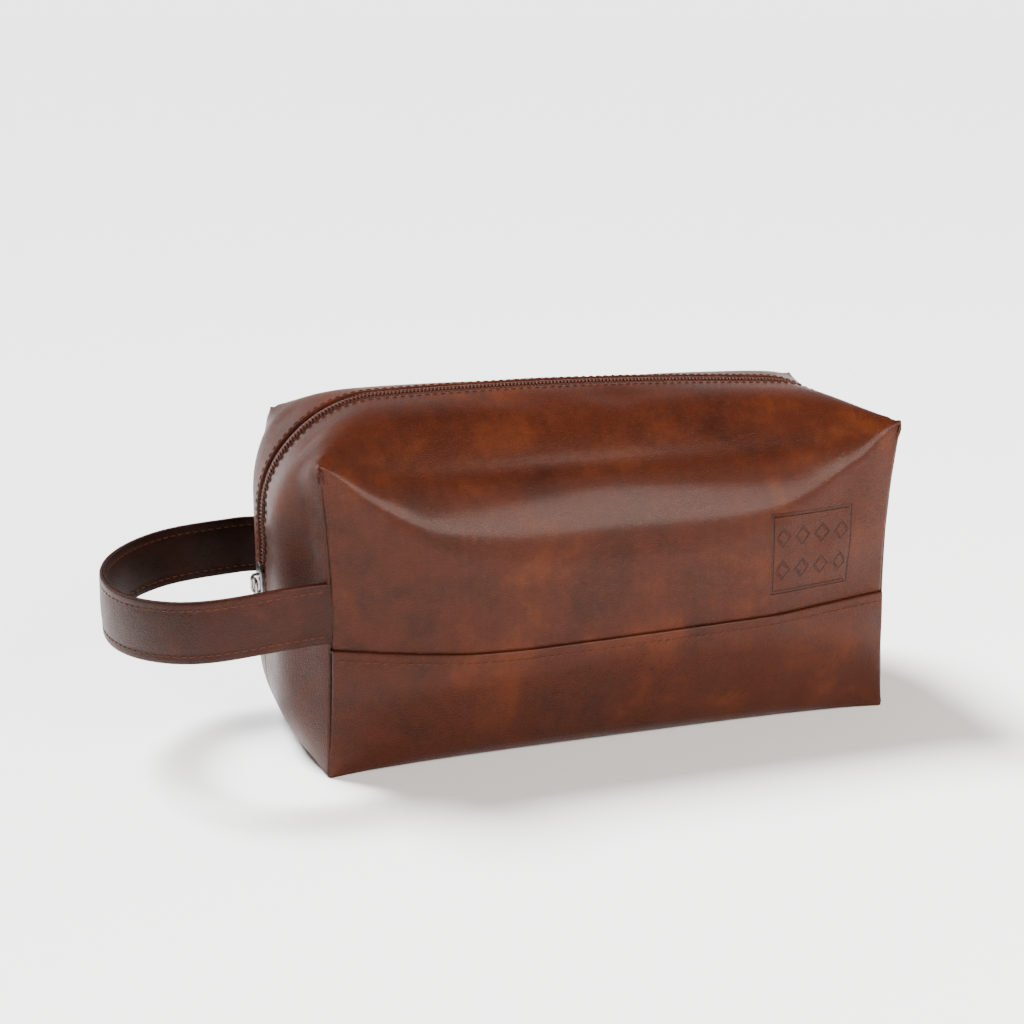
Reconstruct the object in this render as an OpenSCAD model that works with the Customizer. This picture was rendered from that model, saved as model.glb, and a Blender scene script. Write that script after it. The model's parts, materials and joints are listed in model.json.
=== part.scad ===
// Boxy leather shaving kit bag: two T-shaped side panels, a base band, a zipper
// over the top and down both ends, and a carrying strap sewn into one end.
// The origin is the centre of the base, +X runs along the bag, +Z is up.
// The zipper's closed end, the slider and the strap are at -X.

/* [Bag] */
// Length between the vertical corner seams
bag_l = 250; // [200:1:320]
// Width between the vertical corner seams
bag_w = 105; // [88:1:140]
// Height of the four pinched top corners
bag_h = 130; // [108:1:170]
// Rise of the top from its long edges to the zipper
crown = 15; // [8:1:22]
// How far each end bulges at the zipper line
end_bulge = 15; // [8:1:20]
// How far the front and back bulge at their middle
side_bulge = 8; // [3:1:12]
// Radius of the zipper line over each shoulder
shoulder_r = 44; // [24:1:50]
// Radius of the soft fold along the long top edges
fold_r = 10; // [4:1:16]

/* [Layers] */
// Thickness of the leather
leather_t = 1.4; // [1:0.1:2]
// Thickness of the lining cloth
lining_t = 0.5; // [0.3:0.1:0.8]
// Gap between layers that lie on each other
layer_gap = 0.1; // [0.05:0.05:0.3]
// Gap between pieces that move apart
move_gap = 0.4; // [0.3:0.1:0.8]
// Thickness of the stiff board in the bottom
board_t = 1.5; // [1:0.1:2.5]

/* [Base band] */
// Height of the base band's turned upper edge
band_h = 51; // [40:1:60]
// How far the side panels reach down behind the band
band_lap = 8; // [5:1:12]

/* [Zipper] */
// Distance between the two leather edges along the zipper
zip_open = 13; // [11:0.5:16]
// Width of the closed coil
coil_w = 6; // [5:0.5:7]
// Thickness of the coil
coil_t = 2.4; // [2:0.1:3]
// Width of each tape beside the coil
tape_w = 11; // [9:0.5:13]
// Thickness of the tape
tape_t = 0.6; // [0.4:0.1:0.8]
// Height of both lower ends of the zipper
zip_low = 54; // [50:1:62]
// Gap between the coil halves
coil_gap = 1.4; // [1.2:0.1:2]
// Length of each end stop
stop_l = 3.6; // [3:0.1:4.2]

/* [Slider] */
// Length of the slider
slider_l = 17; // [14:0.5:18]
// Width of the slider
slider_w = 9.6; // [9.2:0.1:11]
// Thickness of the slider's plates
plate_t = 1.1; // [0.9:0.1:1.4]
// Width of the bridge that holds the puller
bridge_w = 2.2; // [1.8:0.1:2.6]
// Radius of the puller's eye bar
eye_r = 0.75; // [0.6:0.05:0.9]
// Length of the puller below its eye bar
puller_l = 26; // [20:1:32]
// Width of the puller
puller_w = 7; // [6.6:0.1:9]
// Travel of the slider up the straight of its end
slider_run = 19.5; // [8:0.5:19.5]

/* [Strap] */
// Width of the strap
strap_w = 25; // [20:1:30]
// Thickness of each of the strap's two leather layers
strap_t = 1.3; // [1:0.1:1.8]
// Reach of the loop beyond the end seams
strap_reach = 79; // [65:1:95]
// Height of the strap's middle at the seams
strap_z = 69; // [64:1:76]
// Downward tilt of the loop in degrees
strap_droop = 4; // [0:1:8]
// Gap between the end seam and the strap's round ends
root_gap = 2.5; // [2:0.5:6]

/* [Pocket] */
// Length of the slip pocket inside the back
pocket_l = 150; // [100:5:180]
// Height of the slip pocket
pocket_h = 62; // [50:1:75]

/* [Hidden] */

half_l = bag_l / 2;
half_w = bag_w / 2;
lining_d = leather_t + tape_t + 2 * layer_gap;      // depth of the lining's outer face
tape_d = leather_t + layer_gap;                     // depth of the tape's outer face
inside_d = lining_d + lining_t;                     // depth of the clear inside
coil_d = 0.3;                                       // the coil lies just below the leather's face
base_top = leather_t + board_t + lining_t + 2 * layer_gap;
edge_drop = 0.27;                                   // the crown falls by this share at the ends
arc_mid = 1 - sqrt(0.5);                            // where a corner arc's middle lies, in radii

leather = [0.42, 0.20, 0.11];
leather_dark = [0.20, 0.10, 0.07];
cloth = [0.16, 0.12, 0.10];
tape_cloth = [0.36, 0.14, 0.10];
nylon = [0.24, 0.12, 0.08];
metal = [0.62, 0.62, 0.64];
board = [0.55, 0.47, 0.36];

// ---- the bag's surface, d below the outer face ----

function sq(v) = v * v;
// depth of a corner of radius r, at a distance s from the sharp edge: [distance in, drop]
function rounded(s, r) = s >= r || r < 0.01 ? [s, 0]
    : let (t = arc_mid * r + (1 - arc_mid) * s) [t, r - sqrt(max(0, r * r - sq(r - t)))];
// the ends keep their bulge all the way up and taper in towards the base
function end_profile(z) = 1 - 0.75 * sq(max(0, 1 - z / (0.25 * bag_h)));
function side_profile(z) = 4 * (z / bag_h) * (1 - z / bag_h);
// height of the top's edge across the end, and of the top itself
function end_edge(q, d) = bag_h - d + crown * (1 - edge_drop) * (1 - q * q);
function top_z(p, q, d) = bag_h - d + crown * (1 - q * q) * (1 - edge_drop * p * p);
// the shoulder's arc starts above the slider's travel
// heights on the ends stretch towards the top, to meet its crown
function raised(q, z, d) = z + (end_edge(q, d) - bag_h) * pow(z / bag_h, 3);
function shoulder_at(q) = min(shoulder_r, end_edge(0, 0) - slider_z - slider_l / 2 - slider_run) * (1 - q * q);
function fold_at(p) = fold_r * (1 - p * p);

// end face: q runs across from -1 to 1, z from 0 to bag_h, side is -1 or 1
function end_point(side, q, z, d) = let (
        edge = end_edge(q, d),
        c = rounded(edge - raised(q, z, d), shoulder_at(q)),
        x = half_l - d + end_bulge * (1 - q * q) * end_profile(z))
    [side * (x - c[1]), q * (half_w - d), edge - c[0]];
// long face: p runs along from -1 to 1, side is -1 at the front and 1 at the back
function side_point(side, p, z, d) = let (
        z1 = z * (bag_h - d) / bag_h,
        c = rounded(bag_h - d - z1, fold_at(p)),
        y = half_w - d + side_bulge * (1 - p * p) * side_profile(z))
    [p * (half_l - d), side * (y - c[1]), bag_h - d - c[0]];
// top: p along, q across
function top_point(p, q, d) = let (
        x = half_l - d + end_bulge * (1 - q * q),
        cx = rounded(x * (1 - abs(p)), shoulder_at(q)),
        cy = rounded((half_w - d) * (1 - abs(q)), fold_at(p)))
    [sign(p) * (x - cx[0]), sign(q) * (half_w - d - cy[0]), top_z(p, q, d) - cx[1] - cy[1]];

// ---- a sheet of a given thickness between two equal grids of points ----

function flat(list) = [for (row = list) for (v = row) v];
function quad(a, b, c, d, turn) = turn ? [[a, c, b], [a, d, c]] : [[a, b, c], [a, c, d]];
module sheet(outer, inner, keep = undef, turn = false) {
    rows = len(outer) - 1;
    cols = len(outer[0]) - 1;
    n = (rows + 1) * (cols + 1);
    function at(i, j) = i * (cols + 1) + j;
    function has(i, j) = i >= 0 && j >= 0 && i < rows && j < cols && (is_undef(keep) || keep[i][j]);
    polyhedron(points = concat(flat(outer), flat(inner)), convexity = 6, faces = flat([
        for (i = [0:rows - 1], j = [0:cols - 1]) if (has(i, j)) let (
            a = at(i, j), b = at(i, j + 1), c = at(i + 1, j + 1), e = at(i + 1, j))
            concat(quad(a, b, c, e, turn), quad(a + n, e + n, c + n, b + n, turn),
                has(i - 1, j) ? [] : quad(a, a + n, b + n, b, turn),
                has(i + 1, j) ? [] : quad(e, c, c + n, e + n, turn),
                has(i, j - 1) ? [] : quad(a, e, e + n, a + n, turn),
                has(i, j + 1) ? [] : quad(b, b + n, c + n, c, turn))]));
}

// ---- half panels: the long face with both half ends, and the top half ----

zip_q = zip_open / bag_w;                           // leather edge on the end face
seam_q = layer_gap / bag_w;                         // end seam below the zipper
tape_in = coil_w / 2 - 0.3;
tape_out = tape_in + tape_w;
tape_q = tape_out / half_w;                         // the tape's outer edge
end_q = [1, 0.9, 0.75, 0.55, 0.4, tape_q, zip_q, seam_q];
long_p = [for (i = [-8:8]) i / 8];
// the rows above the zipper's lower end, and those of a wall that stands at z0
high_z = [for (t = [0.16, 0.34, 0.5, 0.62, 0.74, 0.86, 1]) zip_low + t * (bag_h - zip_low)];
function wall_z(z0) = concat([for (t = [0, 0.3, 0.62]) z0 + t * (band_h - band_lap - z0)],
    [band_h - band_lap, zip_low], high_z);
lap_row = 3;                                        // the row at the panel's lower edge
zip_row = 4;                                        // the row at the zipper's lower end
last_end = len(end_q) - 1;
long_count = len(long_p) - 1;

function wall_row(side, z, d) = concat(
    [for (i = [last_end:-1:0]) end_point(-1, side * end_q[i], z, d)],
    [for (i = [1:long_count - 1]) side_point(side, long_p[i], z, d)],
    [for (i = [0:last_end]) end_point(1, side * end_q[i], z, d)]);
// lower rows belong to the ends only, and the strip by the zipper only to the rows below it
function wall_keep(low) = [for (r = [0:len(wall_z(0)) - 2]) [for (c = [0:2 * last_end + long_count - 1])
    let (in_seam = c == 0 || c == 2 * last_end + long_count - 1,
        in_end = c < last_end || c >= last_end + long_count)
    (in_end || r >= low) && (!in_seam || r < zip_row)]];
module wall(side, z0, d, t, low)
    sheet([for (z = wall_z(z0)) wall_row(side, z, d)], [for (z = wall_z(z0)) wall_row(side, z, d + t)],
        wall_keep(low), side > 0);

// the top half, held move_gap inside its borders
top_p = let (k = 1 - move_gap / half_l) [for (p = [-1, -0.97, -0.9, -0.8, -0.65, -0.45, -0.22, 0,
    0.22, 0.45, 0.65, 0.8, 0.9, 0.97, 1]) p * k];
function top_q(q_in) = let (k = 1 - move_gap / half_w)
    concat([for (q = [1, 0.93, 0.8, 0.62, 0.42]) q * k], [tape_q, q_in]);
module top_half(side, d, t, q_in)
    sheet([for (q = top_q(q_in)) [for (p = top_p) top_point(p, side * q, d)]],
        [for (q = top_q(q_in)) [for (p = top_p) top_point(p, side * q, d + t)]], undef, side > 0);

module front_panel() { color(leather) wall(-1, leather_t + layer_gap, 0, leather_t, lap_row); }
module back_panel() { color(leather) wall(1, leather_t + layer_gap, 0, leather_t, lap_row); }
module front_top_panel() { color(leather) top_half(-1, 0, leather_t, zip_q); }
module back_top_panel() { color(leather) top_half(1, 0, leather_t, zip_q); }

module front_lining() { color(cloth) wall(-1, base_top, lining_d, lining_t, 0); }
module back_lining() { color(cloth) wall(1, base_top, lining_d, lining_t, 0); }
module front_top_lining() { color(cloth) top_half(-1, lining_d, lining_t, zip_q); }
module back_top_lining() { color(cloth) top_half(1, lining_d, lining_t, zip_q); }

// ---- base band: up the front and back over the panels, and under the bag ----

band_rows = [for (t = [0, 0.1, 0.3, 0.55, 0.8, 1]) t * band_h];
under_q = [for (i = [-7:7]) i / 8];
function base_x(q, d) = half_l - d + 0.25 * end_bulge * (1 - q * q);
// one row of the band's outer face and of its inner face
function band_out(side, z) = [for (p = long_p) side_point(side, p, z, -leather_t - layer_gap)];
function band_in(side, z) = [for (p = long_p) side_point(side, p, max(z, leather_t), -layer_gap)];
function under(q, z, d) = [for (p = long_p) [p * base_x(q, d), q * (half_w - d), z]];
module base_band() {
    color(leather) sheet(
        concat([for (i = [len(band_rows) - 1:-1:0]) band_out(-1, band_rows[i])],
            [for (q = under_q) under(q, 0, -leather_t - layer_gap)], [for (z = band_rows) band_out(1, z)]),
        concat([for (i = [len(band_rows) - 1:-1:0]) band_in(-1, band_rows[i])],
            [for (q = under_q) under(q, leather_t, -layer_gap)], [for (z = band_rows) band_in(1, z)]),
        undef, true);
}
function base_outline(d) = concat([for (i = [-8:8]) [base_x(i / 8, d), i / 8 * (half_w - d)]],
    [for (i = [8:-1:-8]) [-base_x(i / 8, d), i / 8 * (half_w - d)]]);
module base_board() {
    color(board) translate([0, 0, leather_t + layer_gap / 2])
        linear_extrude(board_t) polygon(base_outline(inside_d + 1));
}
module base_lining() {
    color(cloth) translate([0, 0, leather_t + board_t + layer_gap])
        linear_extrude(lining_t) polygon(base_outline(inside_d + layer_gap));
}

// ---- slip pocket on the back lining, open at its top ----

pocket_z = 24;
pocket_gap = 2.5;
// the pocket lies on the lining along its sides and bottom, and stands off between them
function pocket_d(p, t) = inside_d + 3 * layer_gap + pocket_gap * (1 - pow(p, 4)) * sin(90 * t);
module pocket_side(d)
    sheet([for (t = [0:0.25:1]) [for (i = [-6:6]) pocket_point(i / 6, t, 0)]],
        [for (t = [0:0.25:1]) [for (i = [-6:6]) pocket_point(i / 6, t, d)]], undef, true);
function pocket_point(p, t, d) =
    side_point(1, p * pocket_l / bag_l, pocket_z + t * pocket_h, pocket_d(p, t) + d);
module slip_pocket() { color(leather_dark) pocket_side(lining_t); }

// ---- bindings over the raw edges of the four corner seams, inside ----

bind_w = 4.2;
bind_t = 2;
module seam_binding(side_x, side_y) {
    corner = inside_d + 1.6;
    translate([side_x * (half_l - corner - bind_w / 2), side_y * (half_w - corner - bind_t / 2),
        base_top + layer_gap])
        rotate([0, 0, side_x * side_y * 40]) difference() {
            translate([-bind_w / 2, -bind_t / 2, 0]) cube([bind_w, bind_t, bag_h - base_top - 2 * fold_r]);
            translate([-side_x * bind_w / 2 - 1, -0.4, -1]) cube([2, 0.8, bag_h]);
        }
}
module left_seam_bindings() { color(cloth) for (s = [-1, 1]) seam_binding(-1, s); }
module right_seam_bindings() { color(cloth) for (s = [-1, 1]) seam_binding(1, s); }

// ---- zipper tapes and coils, along the middle line ----

// a strip down an end from the split at the shoulder to z0; ys runs from its outer edge inwards
module end_strip(side_x, side_y, z0, ys, d, t) {
    rows = concat([z0], high_z);
    sheet([for (y = ys) [for (z = rows) end_point(side_x, side_y * y / half_w, z, d)]],
        [for (y = ys) [for (z = rows) end_point(side_x, side_y * y / half_w, z, d + t)]], undef,
        side_x * side_y < 0);
}
module top_strip(side, ys, d, t)
    sheet([for (y = ys) [for (p = top_p) top_point(p, side * y / half_w, d)]],
        [for (y = ys) [for (p = top_p) top_point(p, side * y / half_w, d + t)]], undef, side > 0);
tape_ys = [tape_out, zip_open / 2, tape_in];
coil_ys = [tape_in - layer_gap, coil_gap / 2];
module end_tapes(side) {
    color(tape_cloth) for (x = [-1, 1]) end_strip(x, side, zip_low, tape_ys, tape_d, tape_t);
}
module end_coils(side) {
    color(nylon) for (x = [-1, 1]) end_strip(x, side, coil_low, coil_ys, coil_d, coil_t);
}
module front_end_tapes() end_tapes(-1);
module back_end_tapes() end_tapes(1);
module front_end_coils() end_coils(-1);
module back_end_coils() end_coils(1);
module front_top_tape() { color(tape_cloth) top_strip(-1, tape_ys, tape_d, tape_t); }
module back_top_tape() { color(tape_cloth) top_strip(1, tape_ys, tape_d, tape_t); }
module front_top_coil() { color(nylon) top_strip(-1, coil_ys, coil_d, coil_t); }
module back_top_coil() { color(nylon) top_strip(1, coil_ys, coil_d, coil_t); }

// ---- end stops below the coil: two at the slider's end, one across at the far end ----

zip_x = half_l + end_bulge;                         // outer face of the ends at the zipper
stop_t = coil_t + 0.6;
stop_w = tape_in - 0.5 - layer_gap;
// height of the leather's edge below the zipper, and of the stops and the coil above it
leather_z = raised(0, zip_low, 0);
stop_z = leather_z + 3 * layer_gap;
coil_low = stop_z + stop_l;
module top_stops() {
    color(metal) for (s = [-1, 1]) translate([-zip_x - 0.1, s * (0.5 + stop_w / 2) - stop_w / 2, stop_z])
        cube([stop_t, stop_w, stop_l]);
}
module bottom_stop() {
    color(metal) translate([zip_x - stop_t + 0.1, -coil_w / 2 + 0.4, stop_z])
        cube([stop_t, coil_w - 0.8, stop_l]);
}

// ---- slider: two plates with side flanges round the coil, and the puller's bridge ----

slider_z = stop_z + stop_l + move_gap + slider_l / 2;   // middle of the slider
plate_x = -zip_x - 0.5;                             // inner face of the outer plate
inner_x = -zip_x + coil_d + coil_t + 0.5;           // outer face of the inner plate
slot_out = -zip_x + tape_d - 0.45;                  // the tape passes between these
slot_in = -zip_x + tape_d + tape_t + 0.45;
rim = 1.1;
bridge_x = plate_x - plate_t;                       // outer face of the outer plate
bridge_h = 3.4;
bridge_l = 9;
module plate_outline() {
    // wide at the mouth, a little narrower at the tail, with round corners
    hull() {
        for (s = [-1, 1]) {
            translate([s * (slider_w / 2 - 1.8), -slider_l / 2 + 1.8]) circle(r = 1.8, $fn = 32);
            translate([s * (slider_w / 2 - 2.3), slider_l / 2 - 2.3]) circle(r = 2.3, $fn = 32);
        }
    }
}
// lays a plate's outline against the end, from x0 outwards by t
module upright(x0, t) translate([x0, 0, slider_z]) rotate([90, 0, -90]) linear_extrude(t) children();
module slider_body() {
    color(metal) {
        upright(plate_x, plate_t) plate_outline();
        upright(inner_x + plate_t, plate_t) plate_outline();
        for (s = [-1, 1]) {
            upright(slot_out, slot_out - plate_x) intersection() {
                plate_outline();
                translate([s * slider_w / 2 - rim, -slider_l]) square([2 * rim, 2 * slider_l]);
            }
            upright(inner_x, inner_x - slot_in) intersection() {
                plate_outline();
                translate([s * slider_w / 2 - rim, -slider_l]) square([2 * rim, 2 * slider_l]);
            }
        }
        // the post between the plates, in the gap between the coil halves
        translate([plate_x - 0.01, -0.3, slider_z - slider_l / 2 + 1])
            cube([inner_x - plate_x + 0.02, 0.6, 3]);
    }
}
eye_x = bridge_x - 1.25;
eye_z = slider_z + 1.6;
module slider_bridge() {
    color(metal) translate([bridge_x, bridge_w / 2, slider_z]) rotate([90, 0, 0]) linear_extrude(bridge_w)
        difference() {
            translate([-bridge_h, -bridge_l / 2]) square([bridge_h, bridge_l]);
            translate([-bridge_h + 0.9, -bridge_l / 2 + 1.2]) square([bridge_h + 1, bridge_l - 2.4]);
        }
}
// ---- puller: an eye bar under the bridge, two arms and a long tag ----

module puller() {
    arm = 1.2;
    tag_top = eye_z - (eye_z - slider_z + bridge_l / 2 + 1.2);
    color(metal) {
        translate([eye_x, puller_w / 2 - 0.2, eye_z]) rotate([90, 0, 0]) cylinder(r = eye_r, h = puller_w - 0.4, $fn = 32);
        translate([eye_x - 0.6, 0, 0]) rotate([90, 0, 90]) linear_extrude(1.2) {
            for (s = [-1, 1]) translate([s * (puller_w / 2 - arm / 2) - arm / 2, tag_top]) square([arm, eye_z - tag_top + eye_r]);
            difference() {
                hull() {
                    translate([-puller_w / 2, tag_top - 1]) square([puller_w, 1]);
                    translate([0, eye_z - puller_l + 2.6]) circle(r = 2.6, $fn = 32);
                }
                translate([0, eye_z - puller_l + 3.4]) circle(r = 1.2, $fn = 32);
            }
        }
    }
}

// ---- strap: a loop of two layers, standing on edge, turning on its stitched ends ----

leg_y = half_w - 1.6;
turn_x = -half_l - root_gap - strap_w / 2;                    // the line that the strap turns on
bow_x = -half_l - strap_reach;                      // middle of the loop's far end
corner_r = 30;
corner_y = leg_y - corner_r;
corner_x = bow_x + 41;
reach = corner_x - bow_x;
bow_r = (sq(reach) + sq(corner_y) - sq(corner_r)) / (2 * (reach - corner_r));
bow_angle = atan2(corner_y, bow_r - reach);         // half the bow's angle
// the loop's line, o outside its middle: front leg, corner, bow, corner, back leg
function arc(cx, cy, r, a0, a1, n) = [for (i = [0:n]) let (a = a0 + (a1 - a0) * i / n) [cx + r * cos(a), cy + r * sin(a)]];
function half_loop(o) = concat([[-half_l + 5, leg_y + o]],
    arc(corner_x, corner_y, corner_r + o, 90, 180 - bow_angle, 8),
    arc(bow_x + bow_r, 0, bow_r + o, 180 - bow_angle, 180, 5));
function mirrored(list) = [for (i = [len(list) - 1:-1:0]) [list[i][0], -list[i][1]]];
function loop_line(o) = concat(half_loop(o), mirrored([for (i = [0:len(half_loop(o)) - 2]) half_loop(o)[i]]));
function backwards(list) = [for (i = [len(list) - 1:-1:0]) list[i]];
module loop_layer(o_in, o_out)
    translate([0, 0, strap_z - strap_w / 2]) linear_extrude(strap_w)
        polygon(concat(loop_line(o_out), backwards(loop_line(o_in))));
module drooped() translate([turn_x, 0, strap_z]) rotate([0, -strap_droop, 0]) translate([-turn_x, 0, -strap_z]) children();
module turn_disc(extra) translate([turn_x, 0, strap_z]) rotate([90, 0, 0])
    cylinder(r = strap_w / 2 + extra, h = 2 * bag_w, center = true, $fn = 96);
module strap_layer(o_in, o_out) drooped() intersection() {
    loop_layer(o_in, o_out);
    union() {
        translate([turn_x - 2 * strap_reach, -bag_w, strap_z - strap_w]) cube([2 * strap_reach, 2 * bag_w, 2 * strap_w]);
        turn_disc(0);
    }
}
module strap_outer() { color(leather) strap_layer(layer_gap / 2, strap_t); }
module strap_inner() { color(leather_dark) strap_layer(-strap_t, -layer_gap / 2); }
module strap_ends() {
    end_x = -half_l - end_bulge * (1 - sq((leg_y - strap_t) / half_w)) - layer_gap;
    color(leather) difference() {
        intersection() {
            loop_layer(-strap_t, strap_t);
            translate([turn_x + 1, -bag_w, 0]) cube([end_x - turn_x - 1, 2 * bag_w, bag_h]);
        }
        turn_disc(move_gap);
    }
}

base_band();
front_panel();
back_panel();
front_top_panel();
back_top_panel();
front_lining();
back_lining();
base_lining();
front_top_lining();
back_top_lining();
base_board();
slip_pocket();
left_seam_bindings();
right_seam_bindings();
front_end_tapes();
back_end_tapes();
front_top_tape();
back_top_tape();
front_end_coils();
back_end_coils();
front_top_coil();
back_top_coil();
top_stops();
bottom_stop();
slider_body();
slider_bridge();
puller();
strap_outer();
strap_inner();
strap_ends();
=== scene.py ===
import json
import math

import bpy
import numpy as np
from mathutils import Matrix, Vector


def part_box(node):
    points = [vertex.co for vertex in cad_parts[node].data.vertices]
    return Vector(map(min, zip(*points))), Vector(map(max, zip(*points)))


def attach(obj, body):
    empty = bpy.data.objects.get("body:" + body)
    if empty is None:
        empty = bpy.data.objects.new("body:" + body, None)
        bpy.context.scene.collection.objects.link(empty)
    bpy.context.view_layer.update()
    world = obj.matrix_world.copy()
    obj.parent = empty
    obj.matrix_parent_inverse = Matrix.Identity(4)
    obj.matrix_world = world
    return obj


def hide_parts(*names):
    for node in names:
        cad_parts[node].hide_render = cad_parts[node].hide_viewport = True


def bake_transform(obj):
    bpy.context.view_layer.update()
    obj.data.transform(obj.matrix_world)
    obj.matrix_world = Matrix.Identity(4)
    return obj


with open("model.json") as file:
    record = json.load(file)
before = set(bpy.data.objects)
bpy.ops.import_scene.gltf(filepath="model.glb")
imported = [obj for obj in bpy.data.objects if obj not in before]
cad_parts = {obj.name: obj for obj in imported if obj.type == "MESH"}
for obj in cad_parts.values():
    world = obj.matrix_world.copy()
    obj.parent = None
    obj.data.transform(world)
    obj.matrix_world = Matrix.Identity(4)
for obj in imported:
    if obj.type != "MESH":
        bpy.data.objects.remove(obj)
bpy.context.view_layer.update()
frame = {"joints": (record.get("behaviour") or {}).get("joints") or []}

# the places that the frame gives, in metres
joints = {j["name"]: j for j in frame["joints"]}
foldPos = joints["front_flap_fold"]["pos_m"]
strapTurn = joints["strap_swing"]["pos_m"]
pullerEye = joints["puller_swing"]["pos_m"]
halfWidth = -foldPos[1]
cornerZ = foldPos[2]
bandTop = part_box("base_band")[1][2]
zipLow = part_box("front_end_tapes")[0][2]
bagCentre = np.array([0, 0, 0.5 * cornerZ])


def putInScene(ob):
    bpy.context.scene.collection.objects.link(ob)
    return ob


def corners(node):
    return [np.array(corner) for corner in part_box(node)]



# camera: the corner view from the left end and a little above
view = {
    "place": (-0.2478, -0.6715, 0.2975),
    "turn": -17.896,
    "tilt": 16.493,
    "roll": 0.149,
    "lens": 60,
    "sensor": 36,
}


def makeCamera():
    turn, tilt = math.radians(view["turn"]), math.radians(view["tilt"])
    back = np.array([math.sin(turn) * math.cos(tilt), -math.cos(turn) * math.cos(tilt), math.sin(tilt)])
    right = np.cross(-back, [0, 0, 1])
    right /= np.linalg.norm(right)
    up = np.cross(right, -back)
    roll = math.radians(view["roll"])
    data = bpy.data.cameras.new("camera")
    data.lens = view["lens"]
    data.sensor_width = view["sensor"]
    data.clip_start = 0.01
    camera = putInScene(bpy.data.objects.new("camera", data))
    matrix = np.eye(4)
    matrix[:3, 0] = right * math.cos(roll) + up * math.sin(roll)
    matrix[:3, 1] = -right * math.sin(roll) + up * math.cos(roll)
    matrix[:3, 2] = back
    matrix[:3, 3] = view["place"]
    camera.matrix_world = Matrix(matrix.tolist())
    bpy.context.scene.camera = camera


makeCamera()
print("camera set")

# the bag's stuffed form: a box with a crowned top, bowed ends and soft folds
form = {
    "halfLength": 0.125,
    "leftBulge": 0.015,
    "rightBulge": 0.010,
    "sideBulge": 0.006,
    "crown": 0.0154,
    "crownFall": 0.0054,
    "crownMiddle": -0.35,
    "leftShoulder": (0.050, 0.048),
    "rightShoulder": (0.045, 0.040),
    "fold": (0.028, 0.034),
    "baseFold": 0.007,
    "seamPull": 0.003,
    "cells": (50, 22, 26),
    "baseShare": 0.25,
}
nx, ny, nz = form["cells"]
mid = ny // 2
arcMiddle = 1 - math.sqrt(0.5)


def smooth(t):
    t = np.clip(t, 0, 1)
    return t * t * (3 - 2 * t)


def cornerArc(s, a, b):
    # a point s along a corner that is rounded by a one way and b the other
    if s >= a or a < 1e-6:
        return s, 0.0
    t = arcMiddle * a + (1 - arcMiddle) * s
    return t, b * (1 - math.sqrt(max(0.0, 1 - ((a - t) / a) ** 2)))


def crownAt(p):
    return form["crown"] - form["crownFall"] * (p - form["crownMiddle"]) ** 2


def seamPull(z):
    return form["seamPull"] * math.sin(math.pi * min(1.0, max(0.0, z / cornerZ)))


def bulgeAcross(side, q):
    return form["rightBulge" if side > 0 else "leftBulge"] * (1 - abs(q) ** 2.6)


def shoulderOf(side):
    return form["rightShoulder" if side > 0 else "leftShoulder"]


def endPoint(side, q, z):
    a, b = shoulderOf(side)
    spread = 1 - q * q
    edge = cornerZ + crownAt(side) * spread
    height = z + (edge - cornerZ) * (z / cornerZ) ** 3
    t, inset = cornerArc(edge - height, b * spread, a * spread)
    low = form["baseFold"] * spread
    tuck = 0.0
    if height < low:
        t, tuck = cornerArc(height, low, low)
        t = edge - t
    belly = 1 - 0.75 * max(0.0, 1 - z / (form["baseShare"] * cornerZ)) ** 2
    x = form["halfLength"] + bulgeAcross(side, q) * belly - seamPull(z) * abs(q) ** 4
    return [side * (x - inset - tuck), q * (halfWidth - 0.5 * seamPull(z)), edge - t]


def sidePoint(side, p, z):
    spread = 1 - abs(p) ** 4
    a, b = form["fold"]
    t, inset = cornerArc(cornerZ - z, b * spread, a * spread)
    low = form["baseFold"] * spread
    tuck = 0.0
    if z < low:
        t, tuck = cornerArc(z, low, low)
        t = cornerZ - t
    rise = math.sin(math.pi * min(1, z / cornerZ) ** 0.85)
    y = halfWidth + form["sideBulge"] * (1 - abs(p) ** 3) * rise - 0.5 * seamPull(z) * abs(p) ** 4
    return [p * (form["halfLength"] - seamPull(z)), side * (y - inset - tuck), cornerZ - t]


def topPoint(p, q):
    a, b = shoulderOf(p)
    fa, fb = form["fold"]
    spread, along = 1 - q * q, 1 - abs(p) ** 4
    x = form["halfLength"] + bulgeAcross(p, q)
    t, drop = cornerArc(x * (1 - abs(p)), a * spread, b * spread)
    ty, dropY = cornerArc(halfWidth * (1 - abs(q)), fa * along, fb * along)
    z = cornerZ + crownAt(p) * spread
    return [math.copysign(x - t, p), math.copysign(halfWidth - ty, q), z - drop - dropY]


def basePoint(p, q):
    fold = form["baseFold"]
    x = form["halfLength"] + form["baseShare"] * bulgeAcross(p, q)
    foldX, foldY = fold * (1 - q * q), fold * (1 - abs(p) ** 4)
    t, rise = cornerArc(x * (1 - abs(p)), foldX, foldX)
    ty, riseY = cornerArc(halfWidth * (1 - abs(q)), foldY, foldY)
    return [math.copysign(x - t, p), math.copysign(halfWidth - ty, q), rise + riseY]


def latticePoint(i, j, k):
    p, q, z = 2 * i / nx - 1, 2 * j / ny - 1, cornerZ * k / nz
    if k == nz:
        return topPoint(p, q)
    if k == 0:
        return basePoint(p, q)
    if i in (0, nx):
        return endPoint(1 if i else -1, q, z)
    return sidePoint(1 if j else -1, p, z)


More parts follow.
